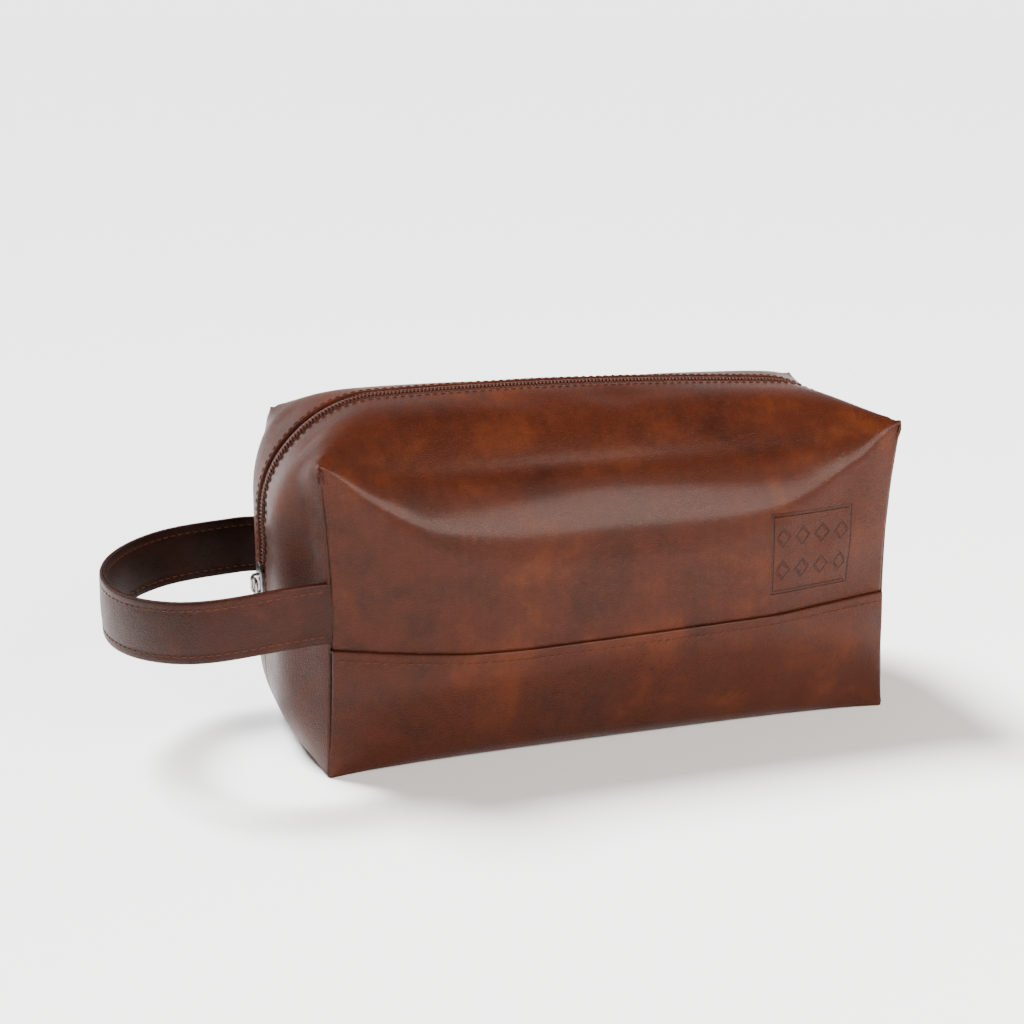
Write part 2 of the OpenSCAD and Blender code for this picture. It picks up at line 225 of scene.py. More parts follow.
def latticeMesh():
    keys = [(i, j, k) for i in range(nx + 1) for j in range(ny + 1) for k in range(nz + 1)
            if i in (0, nx) or j in (0, ny) or k in (0, nz)]
    index = {key: n for n, key in enumerate(keys)}
    faces = []
    for i in range(nx):
        for j in range(ny):
            for k in (0, nz):
                quad = [(i, j, k), (i + 1, j, k), (i + 1, j + 1, k), (i, j + 1, k)]
                faces.append(quad if k else quad[::-1])
        for k in range(nz):
            for j in (0, ny):
                quad = [(i, j, k), (i + 1, j, k), (i + 1, j, k + 1), (i, j, k + 1)]
                faces.append(quad[::-1] if j else quad)
    for j in range(ny):
        for k in range(nz):
            for i in (0, nx):
                quad = [(i, j, k), (i, j + 1, k), (i, j + 1, k + 1), (i, j, k + 1)]
                faces.append(quad if i else quad[::-1])
    points = np.array([latticePoint(*key) for key in keys])
    return keys, index, points, [[index[key] for key in quad] for quad in faces]


latticeKeys, latticeIndex, latticePoints, latticeFaces = latticeMesh()

# the leather is settled over its filling by a cloth simulation, held at the seams, the base and the zipper
settle = {
    "frames": 24,
    "quality": 8,
    "mass": 0.3,
    "airDamping": 3,
    "pressure": 2.2,
    "grow": 0.004,
    "tension": 25,
    "bending": 12.0,
    "cap": 0.0035,
    "evening": 3,
    "fadeCells": 4,
}


def isHeld(i, j, k):
    onEnd = i in (0, nx)
    if k == 0 or (onEnd and j in (0, ny)):
        return True
    return abs(j - mid) <= 1 and (k == nz or (onEnd and cornerZ * k / nz > 0.5 * zipLow))


def settleForm():
    mesh = bpy.data.meshes.new("settling")
    mesh.from_pydata(latticePoints.tolist(), [], latticeFaces)
    shell = putInScene(bpy.data.objects.new("settling", mesh))
    group = shell.vertex_groups.new(name="held")
    group.add([latticeIndex[key] for key in latticeKeys if isHeld(*key)], 1.0, "REPLACE")
    cloth = shell.modifiers.new("cloth", "CLOTH")
    sets = cloth.settings
    sets.quality = settle["quality"]
    sets.mass = settle["mass"]
    sets.tension_stiffness = settle["tension"]
    sets.compression_stiffness = settle["tension"]
    sets.shear_stiffness = settle["tension"] / 3
    sets.bending_stiffness = settle["bending"]
    sets.air_damping = settle["airDamping"]
    sets.shrink_min = -settle["grow"]
    sets.use_pressure = True
    sets.uniform_pressure_force = settle["pressure"]
    sets.effector_weights.gravity = 0
    sets.vertex_group_mass = "held"
    cloth.collision_settings.use_collision = False
    scene = bpy.context.scene
    for step in range(1, settle["frames"] + 1):
        scene.frame_set(step)
    settled = shell.evaluated_get(bpy.context.evaluated_depsgraph_get()).to_mesh()
    points = np.array([v.co[:] for v in settled.vertices])
    bpy.data.objects.remove(shell, do_unlink=True)
    scene.frame_set(1)
    move = points - latticePoints
    length = np.linalg.norm(move, axis=1, keepdims=True)
    print("settled, largest move", round(float(length.max()) * 1000, 2), "mm")
    move = move * np.minimum(1, settle["cap"] / np.maximum(length, 1e-9))
    # leather is stiffer than the cloth cells: the moves are evened out and die away at the zipper
    edges = np.array(sorted({tuple(sorted((f[n], f[n - 1]))) for f in latticeFaces for n in range(4)}))
    count = np.bincount(edges.ravel(), minlength=len(points))[:, None]
    for _ in range(settle["evening"]):
        total = np.zeros_like(move)
        np.add.at(total, edges[:, 0], move[edges[:, 1]])
        np.add.at(total, edges[:, 1], move[edges[:, 0]])
        move = 0.5 * move + 0.5 * total / count
    fade = [smooth((abs(j - mid) - 1) / settle["fadeCells"]) if k == nz or i in (0, nx) else 1.0
            for i, j, k in latticeKeys]
    return latticePoints + move * np.array(fade)[:, None]


# where a hand has pressed or folded the filled bag: place, reach each way, and push
touches = (
    ((-0.133, -0.040, 0.092), (0.030, 0.0075, 0.036), (0.0028, 0.0006, 0.0)),
    ((-0.133, 0.040, 0.092), (0.030, 0.0075, 0.036), (0.0028, -0.0006, 0.0)),
    ((-0.137, -0.012, 0.100), (0.020, 0.010, 0.006), (0.0012, 0.0, 0.0)),
    ((-0.138, -0.010, 0.086), (0.020, 0.012, 0.005), (0.0010, 0.0, 0.0)),
    ((0.100, -0.054, 0.100), (0.012, 0.030, 0.012), (0.0, 0.0026, 0.0)),
    ((0.083, -0.056, 0.086), (0.010, 0.030, 0.014), (0.0, 0.0014, 0.0)),
    ((-0.104, -0.055, 0.100), (0.012, 0.030, 0.014), (0.0, 0.0009, 0.0)),
    ((0.030, -0.058, 0.030), (0.050, 0.030, 0.014), (0.0, 0.0012, 0.0)),
    ((0.100, 0.054, 0.100), (0.012, 0.030, 0.014), (0.0, -0.0022, 0.0)),
    ((-0.070, 0.058, 0.070), (0.030, 0.030, 0.020), (0.0, -0.0018, 0.0)),
    ((0.133, -0.036, 0.090), (0.030, 0.008, 0.032), (-0.0024, 0.0004, 0.0)),
    ((0.134, 0.030, 0.080), (0.030, 0.012, 0.030), (-0.0020, 0.0, 0.0)),
)


def pressed(points):
    for centre, reach, push in touches:
        away = np.sum(((points - centre) / reach) ** 2, axis=1)
        points = points + np.exp(-away)[:, None] * np.array(push)
    return points


formPoints = pressed(settleForm())
formGrid = np.zeros((nx + 1, ny + 1, nz + 1, 3))
for key, point in zip(latticeKeys, formPoints):
    formGrid[key] = point


# the form as two grids: hoops across it over front, top and back, and hoops along it over both ends
def padded(grid):
    grid = np.concatenate([2 * grid[:1] - grid[1:2], grid, 2 * grid[-1:] - grid[-2:-1]])
    return np.concatenate([2 * grid[:, :1] - grid[:, 1:2], grid, 2 * grid[:, -1:] - grid[:, -2:-1]], axis=1)


crossGrid = padded(np.array(
    [formGrid[:, j, 0] for j in range(mid, -1, -1)] + [formGrid[:, 0, k] for k in range(1, nz + 1)]
    + [formGrid[:, j, nz] for j in range(1, ny + 1)] + [formGrid[:, ny, k] for k in range(nz - 1, -1, -1)]
    + [formGrid[:, j, 0] for j in range(ny - 1, mid - 1, -1)]))
longGrid = padded(np.array(
    [formGrid[i, :, 0] for i in range(nx // 2, -1, -1)] + [formGrid[0, :, k] for k in range(1, nz + 1)]
    + [formGrid[i, :, nz] for i in range(1, nx + 1)] + [formGrid[nx, :, k] for k in range(nz - 1, -1, -1)]
    + [formGrid[i, :, 0] for i in range(nx - 1, nx // 2 - 1, -1)]))


def wallRow(side, k):
    return mid + k if side < 0 else mid + 2 * nz + ny - k


def topRow(side, j):
    return mid + nz + j if side < 0 else mid + nz + ny - j


def endRow(end, k):
    return nx // 2 + k if end < 0 else nx // 2 + 2 * nz + nx - k


def endCol(side, j):
    return j if side < 0 else ny - j


def cubic(t):
    return [-0.5 * t + t * t - 0.5 * t ** 3, 1 - 2.5 * t * t + 1.5 * t ** 3,
            0.5 * t + 2 * t * t - 1.5 * t ** 3, -0.5 * t * t + 0.5 * t ** 3]


def sample(grid, rows, cols):
    rows, cols = np.broadcast_arrays(np.asarray(rows, float), np.asarray(cols, float))
    r = np.clip(rows, 0, grid.shape[0] - 3 - 1e-9)
    c = np.clip(cols, 0, grid.shape[1] - 3 - 1e-9)
    r0, c0 = r.astype(int), c.astype(int)
    across = cubic(c - c0)
    total = 0
    for a, weight in enumerate(cubic(r - r0)):
        for b in range(4):
            total = total + (weight * across[b])[..., None] * grid[r0 + a, c0 + b]
    return total


def unit(v):
    return v / np.maximum(np.linalg.norm(v, axis=-1, keepdims=True), 1e-12)


def normalAt(grid, rows, cols):
    h = 0.08
    a = sample(grid, np.asarray(rows) + h, cols) - sample(grid, np.asarray(rows) - h, cols)
    b = sample(grid, rows, np.asarray(cols) + h) - sample(grid, rows, np.asarray(cols) - h)
    n = unit(np.cross(a, b))
    outward = np.sum(n * (sample(grid, rows, cols) - bagCentre), axis=-1, keepdims=True)
    return n * np.sign(outward)


def colsAtWidth(side, rows, width):
    # where along each row of longGrid the distance from the middle line is width
    js = np.linspace(0, mid, 56)
    away = np.abs(sample(longGrid, np.asarray(rows)[:, None], endCol(side, js)[None, :])[..., 1])
    width = np.broadcast_to(width, (len(rows),))
    return np.array([np.interp(-w, -a, js) for w, a in zip(width, away)])


def topAtWidth(side, cols, width):
    js = np.linspace(0, mid, 56)
    away = np.abs(sample(crossGrid, topRow(side, js)[:, None], np.asarray(cols)[None, :])[..., 1])
    return np.array([np.interp(-width, -a, js) for a in away.T])


print("form ready")


# mesh making
def turned(edge, inner, normal, radius, angle, tail, steps=6):
    # rows that carry an edge round a radius and on for a tail, out from the neighbouring inner row
    out = unit((edge - inner) - np.sum((edge - inner) * normal, axis=-1, keepdims=True) * normal)
    radius = np.broadcast_to(np.asarray(radius, float), (len(edge),))[:, None]
    tail = np.broadcast_to(np.asarray(tail, float), (len(edge),))[:, None]
    rows = []
    for step in range(1, steps + 1):
        t = math.radians(angle) * step / steps
        rows.append(edge + out * radius * math.sin(t) - normal * radius * (1 - math.cos(t)))
    t = math.radians(angle)
    onward = out * math.cos(t) - normal * math.sin(t)
    rows += [rows[-1] + onward * tail * share for share in (0.5, 1.0)]
    return np.array(rows)


def spreadUv(uv, count, step):
    return np.array([uv + np.array(step) * (n + 1) for n in range(count)])


def flatMap(across, along):
    # a flat map in metres for a grid, from its columns and its rows
    return np.stack(np.broadcast_arrays(np.asarray(across)[None, :], np.asarray(along)[:, None]), -1)


def distances(path):
    return np.concatenate([[0], np.cumsum(np.linalg.norm(np.diff(path, axis=0), axis=1))])


def valuesAt(at, along, values):
    return np.stack([np.interp(at, along, values[:, n]) for n in range(values.shape[1])], 1)


def evened(path, passes):
    for _ in range(passes):
        path[1:-1] = 0.25 * path[:-2] + 0.5 * path[1:-1] + 0.25 * path[2:]
    return path


def gridFaces(points, start=0):
    rows, cols = points.shape[:2]
    index = start + np.arange(rows * cols).reshape(rows, cols)
    quads = np.stack([index[:-1, :-1], index[:-1, 1:], index[1:, 1:], index[1:, :-1]], -1).reshape(-1, 4)
    flat = points.reshape(-1, 3)
    a, b, c, d = (flat[quads[:, n] - start] for n in range(4))
    facing = np.sum(np.cross(c - a, d - b) * ((a + c) / 2 - bagCentre), axis=1)
    return quads[:, ::-1] if facing.sum() < 0 else quads


def weldGrids(grids):
    # joins several (points, uvs, groove shade) grids into one sheet; the groove shade is painted shade, a
    # darkening weight for each point
    points, uvs, seam, faces = [], [], [], []
    for grid, uv, grooveShadeMark in grids:
        faces.append(gridFaces(grid, sum(len(p) for p in points)))
        points.append(grid.reshape(-1, 3))
        uvs.append(uv.reshape(-1, 2))
        seam.append(grooveShadeMark.reshape(-1))
    points, uvs, seam = np.concatenate(points), np.concatenate(uvs), np.concatenate(seam)
    _, first, back = np.unique(np.round(points, 6), axis=0, return_index=True, return_inverse=True)
    back = back.reshape(-1)
    clean = []
    for quad in back[np.concatenate(faces)].tolist():
        face = [v for n, v in enumerate(quad) if v != quad[n - 1]]
        if len(set(face)) == len(face) and len(face) > 2:
            clean.append(face)
    return points[first], clean, uvs[first], seam[first]


def vertexNormals(points, faces):
    total = np.zeros_like(points)
    for size in (3, 4):
        group = np.array([f for f in faces if len(f) == size])
        if len(group):
            a, b, c, d = (points[group[:, corner]] for corner in (0, 1, 2, -1))
            n = np.cross(b - a, c - a) if size == 3 else np.cross(c - a, d - b)
            for corner in range(size):
                np.add.at(total, group[:, corner], n)
    return unit(total)


def thicken(sheet, depth, thickness):
    # a closed sheet between depth and depth + thickness below the surface
    points, faces, uvs, seam = sheet
    normals = vertexNormals(points, faces)
    count = len(points)
    outer = points - normals * depth
    inner = points - normals * (depth + thickness)
    directed = {(f[n], f[(n + 1) % len(f)]) for f in faces for n in range(len(f))}
    rims = [[b, a, a + count, b + count] for a, b in directed if (b, a) not in directed]
    rims.sort()
    faces = faces + [[v + count for v in f[::-1]] for f in faces] + rims
    return np.concatenate([outer, inner]), faces, np.concatenate([uvs, uvs]), np.concatenate([seam, seam])


sharpAngle = 55  # degrees, above which an edge stays crisp


def makePiece(name, points, faces, material, slot, body=None, uvs=None, seam=None):
    mesh = bpy.data.meshes.new(name)
    mesh.from_pydata(points.tolist(), [], faces)
    mesh.shade_smooth()
    mesh.set_sharp_from_angle(angle=math.radians(sharpAngle))
    if uvs is not None:
        corner = np.zeros(len(mesh.loops), int)
        mesh.loops.foreach_get("vertex_index", corner)
        flat = mesh.uv_layers.new(name="flat")
        flat.data.foreach_set("uv", np.asarray(uvs)[corner].astype(np.float32).ravel())
    # the painted groove shade goes on the mesh as a weight for each point
    if seam is not None:
        grooveShadeMark = mesh.attributes.new("seam", "FLOAT", "POINT")
        grooveShadeMark.data.foreach_set("value", np.asarray(seam, np.float32))
    mesh.materials.append(material)
    piece = putInScene(bpy.data.objects.new(name, mesh))
    if body:
        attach(piece, body)
    return piece


def resample(path, step, *more):
    # the path again at even steps, with any arrays that go with it
    along = distances(path)
    count = max(2, int(round(along[-1] / step)) + 1)
    at = np.linspace(0, along[-1], count)
    return (*(valuesAt(at, along, values) for values in (path, *more)), at)


def ringFaces(rings, sides, caps=True):
    faces = []
    for r in range(rings - 1):
        for n in range(sides):
            a, b = r * sides + n, r * sides + (n + 1) % sides
            faces.append([a, b, b + sides, a + sides])
    if caps:
        faces.append(list(range(sides))[::-1])
        faces.append([(rings - 1) * sides + n for n in range(sides)])
    return faces


def sweep(path, sideways, outward, profile):
    # a closed profile of (sideways, outward) pairs carried along a path
    profile = np.asarray(profile, float)
    ring = profile[None, :, :1] * sideways[:, None] + profile[None, :, 1:] * outward[:, None]
    return (path[:, None] + ring).reshape(-1, 3), ringFaces(len(path), len(profile))


def circleProfile(radius, sides):
    return [(radius * math.cos(2 * math.pi * n / sides), radius * math.sin(2 * math.pi * n / sides))
            for n in range(sides)]


def together(parts):
    points, faces, start = [], [], 0
    for part, partFaces in parts:
        points.append(part)
        faces += [[v + start for v in f] for f in partFaces]
        start += len(part)
    return np.concatenate(points), faces


thread = {
    "pitch": 0.0034,
    "length": 0.0027,
    "radius": 0.00028,
    "zipRadius": 0.00021,
    "rise": 0.00022,
    "shares": np.array([0, 0.14, 0.5, 0.86, 1]),
    "lifts": np.array([-2.4, 0.1, 0.9, 0.1, -2.4]),
}


def stitchRow(path, normals, radius=thread["radius"]):
    # separate stitches along a path, each sinking into the leather at both ends
    path, normals, at = resample(path, 0.0006, normals)
    normals = unit(normals)
    tangents = unit(np.gradient(path, axis=0))
    starts = np.arange(0.5 * (at[-1] % thread["pitch"]), at[-1] - thread["length"], thread["pitch"])
    parts = []
    for start in starts:
        s = start + thread["length"] * thread["shares"]
        normal = unit(valuesAt(s, at, normals))
        sideways = np.cross(unit(valuesAt(s, at, tangents)), normal)
        centre = valuesAt(s, at, path) + normal * (thread["rise"] * thread["lifts"])[:, None]
        parts.append(sweep(centre, sideways, normal, circleProfile(radius, 6)))
    return together(parts)


# materials: effects that several of them use are node groups
def setSocket(tree, socket, value):
    if isinstance(value, bpy.types.NodeSocket):
        tree.links.new(value, socket)
    else:
        socket.default_value = value


def addNode(tree, kind, sets=None, **values):
    node = tree.nodes.new(kind)
    for name, value in values.items():
        setattr(node, name, value)
    for name, value in (sets or {}).items():
        setSocket(tree, node.inputs[name], value)
    return node


def addNoise(tree, vector, scale, detail):
    sets = {"Vector": vector, "Scale": scale, "Detail": detail}
    return addNode(tree, "ShaderNodeTexNoise", sets).outputs[0]


def objectPlace(tree):
    return addNode(tree, "ShaderNodeTexCoord").outputs["Object"]


def flatPlace(tree):
    return addNode(tree, "ShaderNodeUVMap", uv_map="flat").outputs[0]


def splitXyz(tree, vector):
    return addNode(tree, "ShaderNodeSeparateXYZ", {0: vector}).outputs


def addBump(tree, shader, height, strength, distance):
    sets = {"Height": height, "Strength": strength, "Distance": distance}
    tree.links.new(addNode(tree, "ShaderNodeBump", sets).outputs[0], shader.inputs["Normal"])


def newGroup(name, inputs, outputs):
    tree = bpy.data.node_groups.new(name, "ShaderNodeTree")
    for label, kind, value in inputs:
        socket = tree.interface.new_socket(label, in_out="INPUT", socket_type=kind)
        if value is not None:
            socket.default_value = value
    for label, kind in outputs:
        tree.interface.new_socket(label, in_out="OUTPUT", socket_type=kind)
    return tree, tree.nodes.new("NodeGroupInput").outputs, tree.nodes.new("NodeGroupOutput").inputs


def maths(tree, operation, a, b=0.0, c=0.0):
    return addNode(tree, "ShaderNodeMath", {0: a, 1: b, 2: c}, operation=operation).outputs[0]


def spread(tree, value, low, high, toLow=0.0, toHigh=1.0):
    sets = {"Value": value, "From Min": low, "From Max": high, "To Min": toLow, "To Max": toHigh}
    return addNode(tree, "ShaderNodeMapRange", sets, interpolation_type="SMOOTHSTEP").outputs[0]


def mixColor(tree, factor, a, b, blend="MIX"):
    node = addNode(tree, "ShaderNodeMix", data_type="RGBA", blend_type=blend)
    for place, value in ((0, factor), (6, a), (7, b)):
        setSocket(tree, node.inputs[place], value)
    return node.outputs[2]


def shaded(tree, color, shade):
    # a colour made lighter or darker by a number
    gray = addNode(tree, "ShaderNodeCombineColor", {0: shade, 1: shade, 2: shade}).outputs[0]
    return mixColor(tree, 1.0, color, gray, "MULTIPLY")


def makeMottleGroup():
    tree, given, out = newGroup("mottle", [
        ("Vector", "NodeSocketVector", None), ("Scale", "NodeSocketFloat", 22.0),
        ("Dark", "NodeSocketColor", None), ("Middle", "NodeSocketColor", None),
        ("Light", "NodeSocketColor", None)], [("Color", "NodeSocketColor"), ("Cloud", "NodeSocketFloat")])
    wide = addNode(tree, "ShaderNodeTexNoise", {"Vector": given["Vector"], "Scale": given["Scale"],
                                               "Detail": 4.0, "Roughness": 0.55, "Distortion": 0.6})
    fineScale = maths(tree, "MULTIPLY", given["Scale"], 4.3)
    fine = addNode(tree, "ShaderNodeTexNoise", {"Vector": given["Vector"], "Scale": fineScale,
                                                "Detail": 5.0, "Roughness": 0.62})
    both = maths(tree, "ADD", maths(tree, "MULTIPLY", wide.outputs[0], 0.72),
                 maths(tree, "MULTIPLY", fine.outputs[0], 0.28))
    low = mixColor(tree, spread(tree, both, 0.34, 0.5), given["Dark"], given["Middle"])
    tone = mixColor(tree, spread(tree, both, 0.5, 0.66), low, given["Light"])
    tree.links.new(tone, out["Color"])
    tree.links.new(both, out["Cloud"])
    return tree


def makeGrainGroup():
    # the fine pebbled grain with a few longer creases
    tree, given, out = newGroup("grain", [
        ("Vector", "NodeSocketVector", None), ("Scale", "NodeSocketFloat", 900.0)],
        [("Height", "NodeSocketFloat"), ("Pores", "NodeSocketFloat")])
    vector = given["Vector"]
    warp = addNode(tree, "ShaderNodeTexNoise", {"Vector": vector, "Scale": 180.0, "Detail": 2.0})
    moved = addNode(tree, "ShaderNodeVectorMath", {0: warp.outputs["Color"], "Scale": 0.0016},
                    operation="SCALE").outputs[0]
    bent = addNode(tree, "ShaderNodeVectorMath", {0: vector, 1: moved}, operation="ADD").outputs[0]
    cells = addNode(tree, "ShaderNodeTexVoronoi", {"Vector": bent, "Scale": given["Scale"]},
                    feature="DISTANCE_TO_EDGE")
    pebble = spread(tree, cells.outputs["Distance"], 0.0, 0.22)
    swell = addNoise(tree, vector, 130.0, 3.0)
    height = maths(tree, "ADD", maths(tree, "MULTIPLY", pebble, 0.6), maths(tree, "MULTIPLY", swell, 0.8))
    tree.links.new(height, out["Height"])
    tree.links.new(pebble, out["Pores"])
    return tree


def makeWeaveGroup():
    # plain weave over a flat map in metres
    tree, given, out = newGroup("weave", [
        ("Vector", "NodeSocketVector", None), ("Warp", "NodeSocketFloat", 2400.0),
        ("Weft", "NodeSocketFloat", 2400.0), ("Slant", "NodeSocketFloat", 0.0)],
        [("Height", "NodeSocketFloat"), ("Fibre", "NodeSocketFloat")])
    parts = splitXyz(tree, given["Vector"])
    slanted = maths(tree, "ADD", parts[0], maths(tree, "MULTIPLY", parts[1], given["Slant"]))
    u = maths(tree, "SINE", maths(tree, "MULTIPLY", slanted, given["Warp"]))
    v = maths(tree, "SINE", maths(tree, "MULTIPLY", parts[1], given["Weft"]))
    cross = maths(tree, "MULTIPLY", u, v)
    height = maths(tree, "MULTIPLY_ADD", cross, 0.5, 0.5)
    tree.links.new(height, out["Height"])
    tree.links.new(addNoise(tree, given["Vector"], 3500.0, 3.0), out["Fibre"])
    return tree


groups = {"mottle": makeMottleGroup(), "grain": makeGrainGroup(), "weave": makeWeaveGroup()}


def fillGroup(tree, name, sets):
    return addNode(tree, "ShaderNodeGroup", sets, node_tree=groups[name]).outputs


def newMaterial(name, **shaderValues):
    material = bpy.data.materials.new(name)
    material.use_nodes = True
    tree = material.node_tree
    shader = tree.nodes["Principled BSDF"]
    for label, value in shaderValues.items():
        shader.inputs[label.replace("_", " ")].default_value = value
    return material, tree, shader


def rgb(red, green, blue):
    # a colour given as it looks on a screen, 0 to 255
    screen = (red, green, blue)
    return tuple(((c / 255 + 0.055) / 1.055) ** 2.4 if c > 10 else c / 3294 for c in screen) + (1,)


leatherLook = {
    "roughness": 0.42,
    "coat": 0.08,
    "coatRoughness": 0.2,
    "gloss": 0.16,
    "tint": (1.0, 0.7, 0.6, 1),
    "scale": 30.0,
    "dark": rgb(43, 16, 7),
    "middle": rgb(54, 21, 9),
    "light": rgb(69, 30, 12),
    "grain": 1100.0,
    "grainHeight": 0.00018,
    "bump": 1.32,
    # painted shade: the colour and share that darken the leather where its edges turn down into the seam
    # grooves
    "seam": rgb(18, 7, 4),
    "seamShade": 0.85,
}
motif = {
    "centre": (0.0925, 0.1015),
    "half": (0.0215, 0.0165),
    "cell": 0.0108,
    "cellTall": 1.3,
    "lozenge": 0.0036,
    "margin": 0.0025,
    "line": 0.00042,
    "depth": 0.0006,
}


def stampedMask(tree, place):
    # a plain frame round two rows of open lozenges, pressed into the leather
    parts = splitXyz(tree, place)
    u = maths(tree, "SUBTRACT", parts[0], motif["centre"][0])
    v = maths(tree, "SUBTRACT", parts[1], motif["centre"][1])
    across = maths(tree, "ABSOLUTE", u)
    down = maths(tree, "ABSOLUTE", v)
    inside = maths(tree, "MAXIMUM", maths(tree, "SUBTRACT", across, motif["half"][0]),
                   maths(tree, "SUBTRACT", down, motif["half"][1]))
    frameLine = maths(tree, "ABSOLUTE", inside)
    wide = motif["cell"]
    tall = wide * motif["cellTall"]
    cu = maths(tree, "ABSOLUTE", maths(tree, "SUBTRACT", maths(tree, "PINGPONG", u, wide), wide / 2))
    cv = maths(tree, "ABSOLUTE", maths(tree, "SUBTRACT", maths(tree, "PINGPONG", v, tall), tall / 2))
    lozenge = maths(tree, "SUBTRACT", maths(tree, "ADD", cu, cv), motif["lozenge"])
    inner = maths(tree, "MAXIMUM", maths(tree, "ABSOLUTE", lozenge),
                  maths(tree, "ADD", inside, motif["margin"]))
    nearest = maths(tree, "MINIMUM", frameLine, inner)
    return spread(tree, nearest, motif["line"], motif["line"] * 2.2, 1.0, 0.0)


def makeLeather(name, look, streaks=0.0, stamped=False):
    material, tree, shader = newMaterial(name, Coat_Weight=look["coat"],
                                         Coat_Roughness=look["coatRoughness"],
                                         Specular_IOR_Level=look["gloss"], Specular_Tint=look["tint"])
    place, flat = objectPlace(tree), flatPlace(tree)
    mottle = fillGroup(tree, "mottle", {"Vector": place, "Scale": look["scale"], "Dark": look["dark"],
                                        "Middle": look["middle"], "Light": look["light"]})
    grain = fillGroup(tree, "grain", {"Vector": place, "Scale": look["grain"]})
    color = mottle["Color"]
    if streaks:
        stretch = addNode(tree, "ShaderNodeMapping", {0: flat, "Scale": (420.0, 22.0, 1.0)}).outputs[0]
        brushed = addNoise(tree, stretch, 1.0, 3.0)
        color = shaded(tree, color, spread(tree, brushed, 0.35, 0.65, 1.0 - streaks, 1.0 + streaks))
    color = shaded(tree, color, spread(tree, grain["Pores"], 0.0, 1.0, 0.86, 1.0))
    # painted shade: darker where the groove shade weight marks an edge turning down into a seam groove
    seam = addNode(tree, "ShaderNodeAttribute", attribute_name="seam").outputs["Fac"]
    color = mixColor(tree, maths(tree, "MULTIPLY", seam, look["seamShade"]), color, look["seam"])
    height = maths(tree, "MULTIPLY", grain["Height"], look["grainHeight"])
    if stamped:
        mask = stampedMask(tree, flat)
        # painted shade: the stamp's pressed lines are darkened, standing in for the shade down in their
        # grooves
        color = mixColor(tree, maths(tree, "MULTIPLY", mask, 0.35), color, rgb(30, 11, 6))
        height = maths(tree, "SUBTRACT", height, maths(tree, "MULTIPLY", mask, motif["depth"]))
    rough = spread(tree, mottle["Cloud"], 0.3, 0.7, look["roughness"] - 0.05, look["roughness"] + 0.09)
    tree.links.new(color, shader.inputs["Base Color"])
    tree.links.new(rough, shader.inputs["Roughness"])
    addBump(tree, shader, height, 1.0, look["bump"])
    return material


def wovenTone(tree, weave, colors):
    tone = maths(tree, "MULTIPLY_ADD", weave["Fibre"], 0.5, maths(tree, "MULTIPLY", weave["Height"], 0.45))
    return mixColor(tree, tone, *colors)


def makeCloth(name, colors, warp, weft, bump, slant=0.0, ribs=0.0):
    material, tree, shader = newMaterial(name, Roughness=0.85, Sheen_Weight=0.25, Sheen_Roughness=0.5,
                                         Specular_IOR_Level=0.3)
    flat = flatPlace(tree)
    weave = fillGroup(tree, "weave", {"Vector": flat, "Warp": warp, "Weft": weft, "Slant": slant})
    wear = spread(tree, addNoise(tree, flat, 60.0, 4.0), 0.45, 0.75, 0.0, 0.22)
    color = mixColor(tree, wear, wovenTone(tree, weave, colors), colors[1])
    tree.links.new(color, shader.inputs["Base Color"])
    height = maths(tree, "MULTIPLY_ADD", weave["Fibre"], 0.3, weave["Height"])
    if ribs:
        rib = maths(tree, "SINE", maths(tree, "MULTIPLY", splitXyz(tree, flat)[0], ribs))
        height = maths(tree, "MULTIPLY_ADD", rib, 0.6, height)
    addBump(tree, shader, height, 0.7, bump)
    return material


def makeNodeCloth(name, colors, threads, bump):
    # cloth for the plain inside nodes, woven by their own place in space
    material, tree, shader = newMaterial(name, Roughness=0.85, Sheen_Weight=0.2, Specular_IOR_Level=0.3)
    weave = fillGroup(tree, "weave", {"Vector": objectPlace(tree), "Warp": threads, "Weft": threads})
    tree.links.new(wovenTone(tree, weave, colors), shader.inputs["Base Color"])
    addBump(tree, shader, weave["Height"], 0.6, bump)
    return material


def makeBoard():
    material, tree, shader = newMaterial("stiffeningBoard", Roughness=0.9)
    place = objectPlace(tree)
    pulp = addNode(tree, "ShaderNodeTexNoise", {"Vector": place, "Scale": 420.0, "Detail": 6.0,
                                                "Roughness": 0.7}).outputs[0]
    fleck = addNode(tree, "ShaderNodeTexVoronoi", {"Vector": place, "Scale": 260.0}).outputs["Distance"]
    color = mixColor(tree, pulp, rgb(150, 132, 106), rgb(196, 180, 152))
    color = mixColor(tree, spread(tree, fleck, 0.0, 0.16, 0.45, 0.0), color, rgb(92, 78, 60))
    tree.links.new(color, shader.inputs["Base Color"])
    addBump(tree, shader, pulp, 0.5, 0.0003)
    return material


def makeMetal():
    material, tree, shader = newMaterial("polishedNickel", Metallic=1.0, Roughness=0.24)
    place = objectPlace(tree)
    stretch = addNode(tree, "ShaderNodeMapping", {0: place, "Scale": (900.0, 900.0, 90.0)}).outputs[0]
    scratch = addNoise(tree, stretch, 1.0, 4.0)
    haze = addNoise(tree, place, 240.0, 3.0)
    color = mixColor(tree, spread(tree, haze, 0.35, 0.7), rgb(158, 156, 154), rgb(122, 118, 114))
    tree.links.new(color, shader.inputs["Base Color"])
    brushed = spread(tree, scratch, 0.3, 0.7, 0.2, 0.28)
    rough = maths(tree, "ADD", brushed, maths(tree, "MULTIPLY", haze, 0.1))
    tree.links.new(rough, shader.inputs["Roughness"])
    addBump(tree, shader, scratch, 0.1, 0.00001)
    return material


def makeNylon():
    material, tree, shader = newMaterial("zipNylon", Roughness=0.45, Coat_Weight=0.04,
                                         Specular_IOR_Level=0.25)
    tone = addNoise(tree, objectPlace(tree), 500.0, 3.0)
    tree.links.new(mixColor(tree, tone, rgb(40, 17, 11), rgb(76, 38, 25)), shader.inputs["Base Color"])
    addBump(tree, shader, tone, 0.3, 0.0001)
    return material


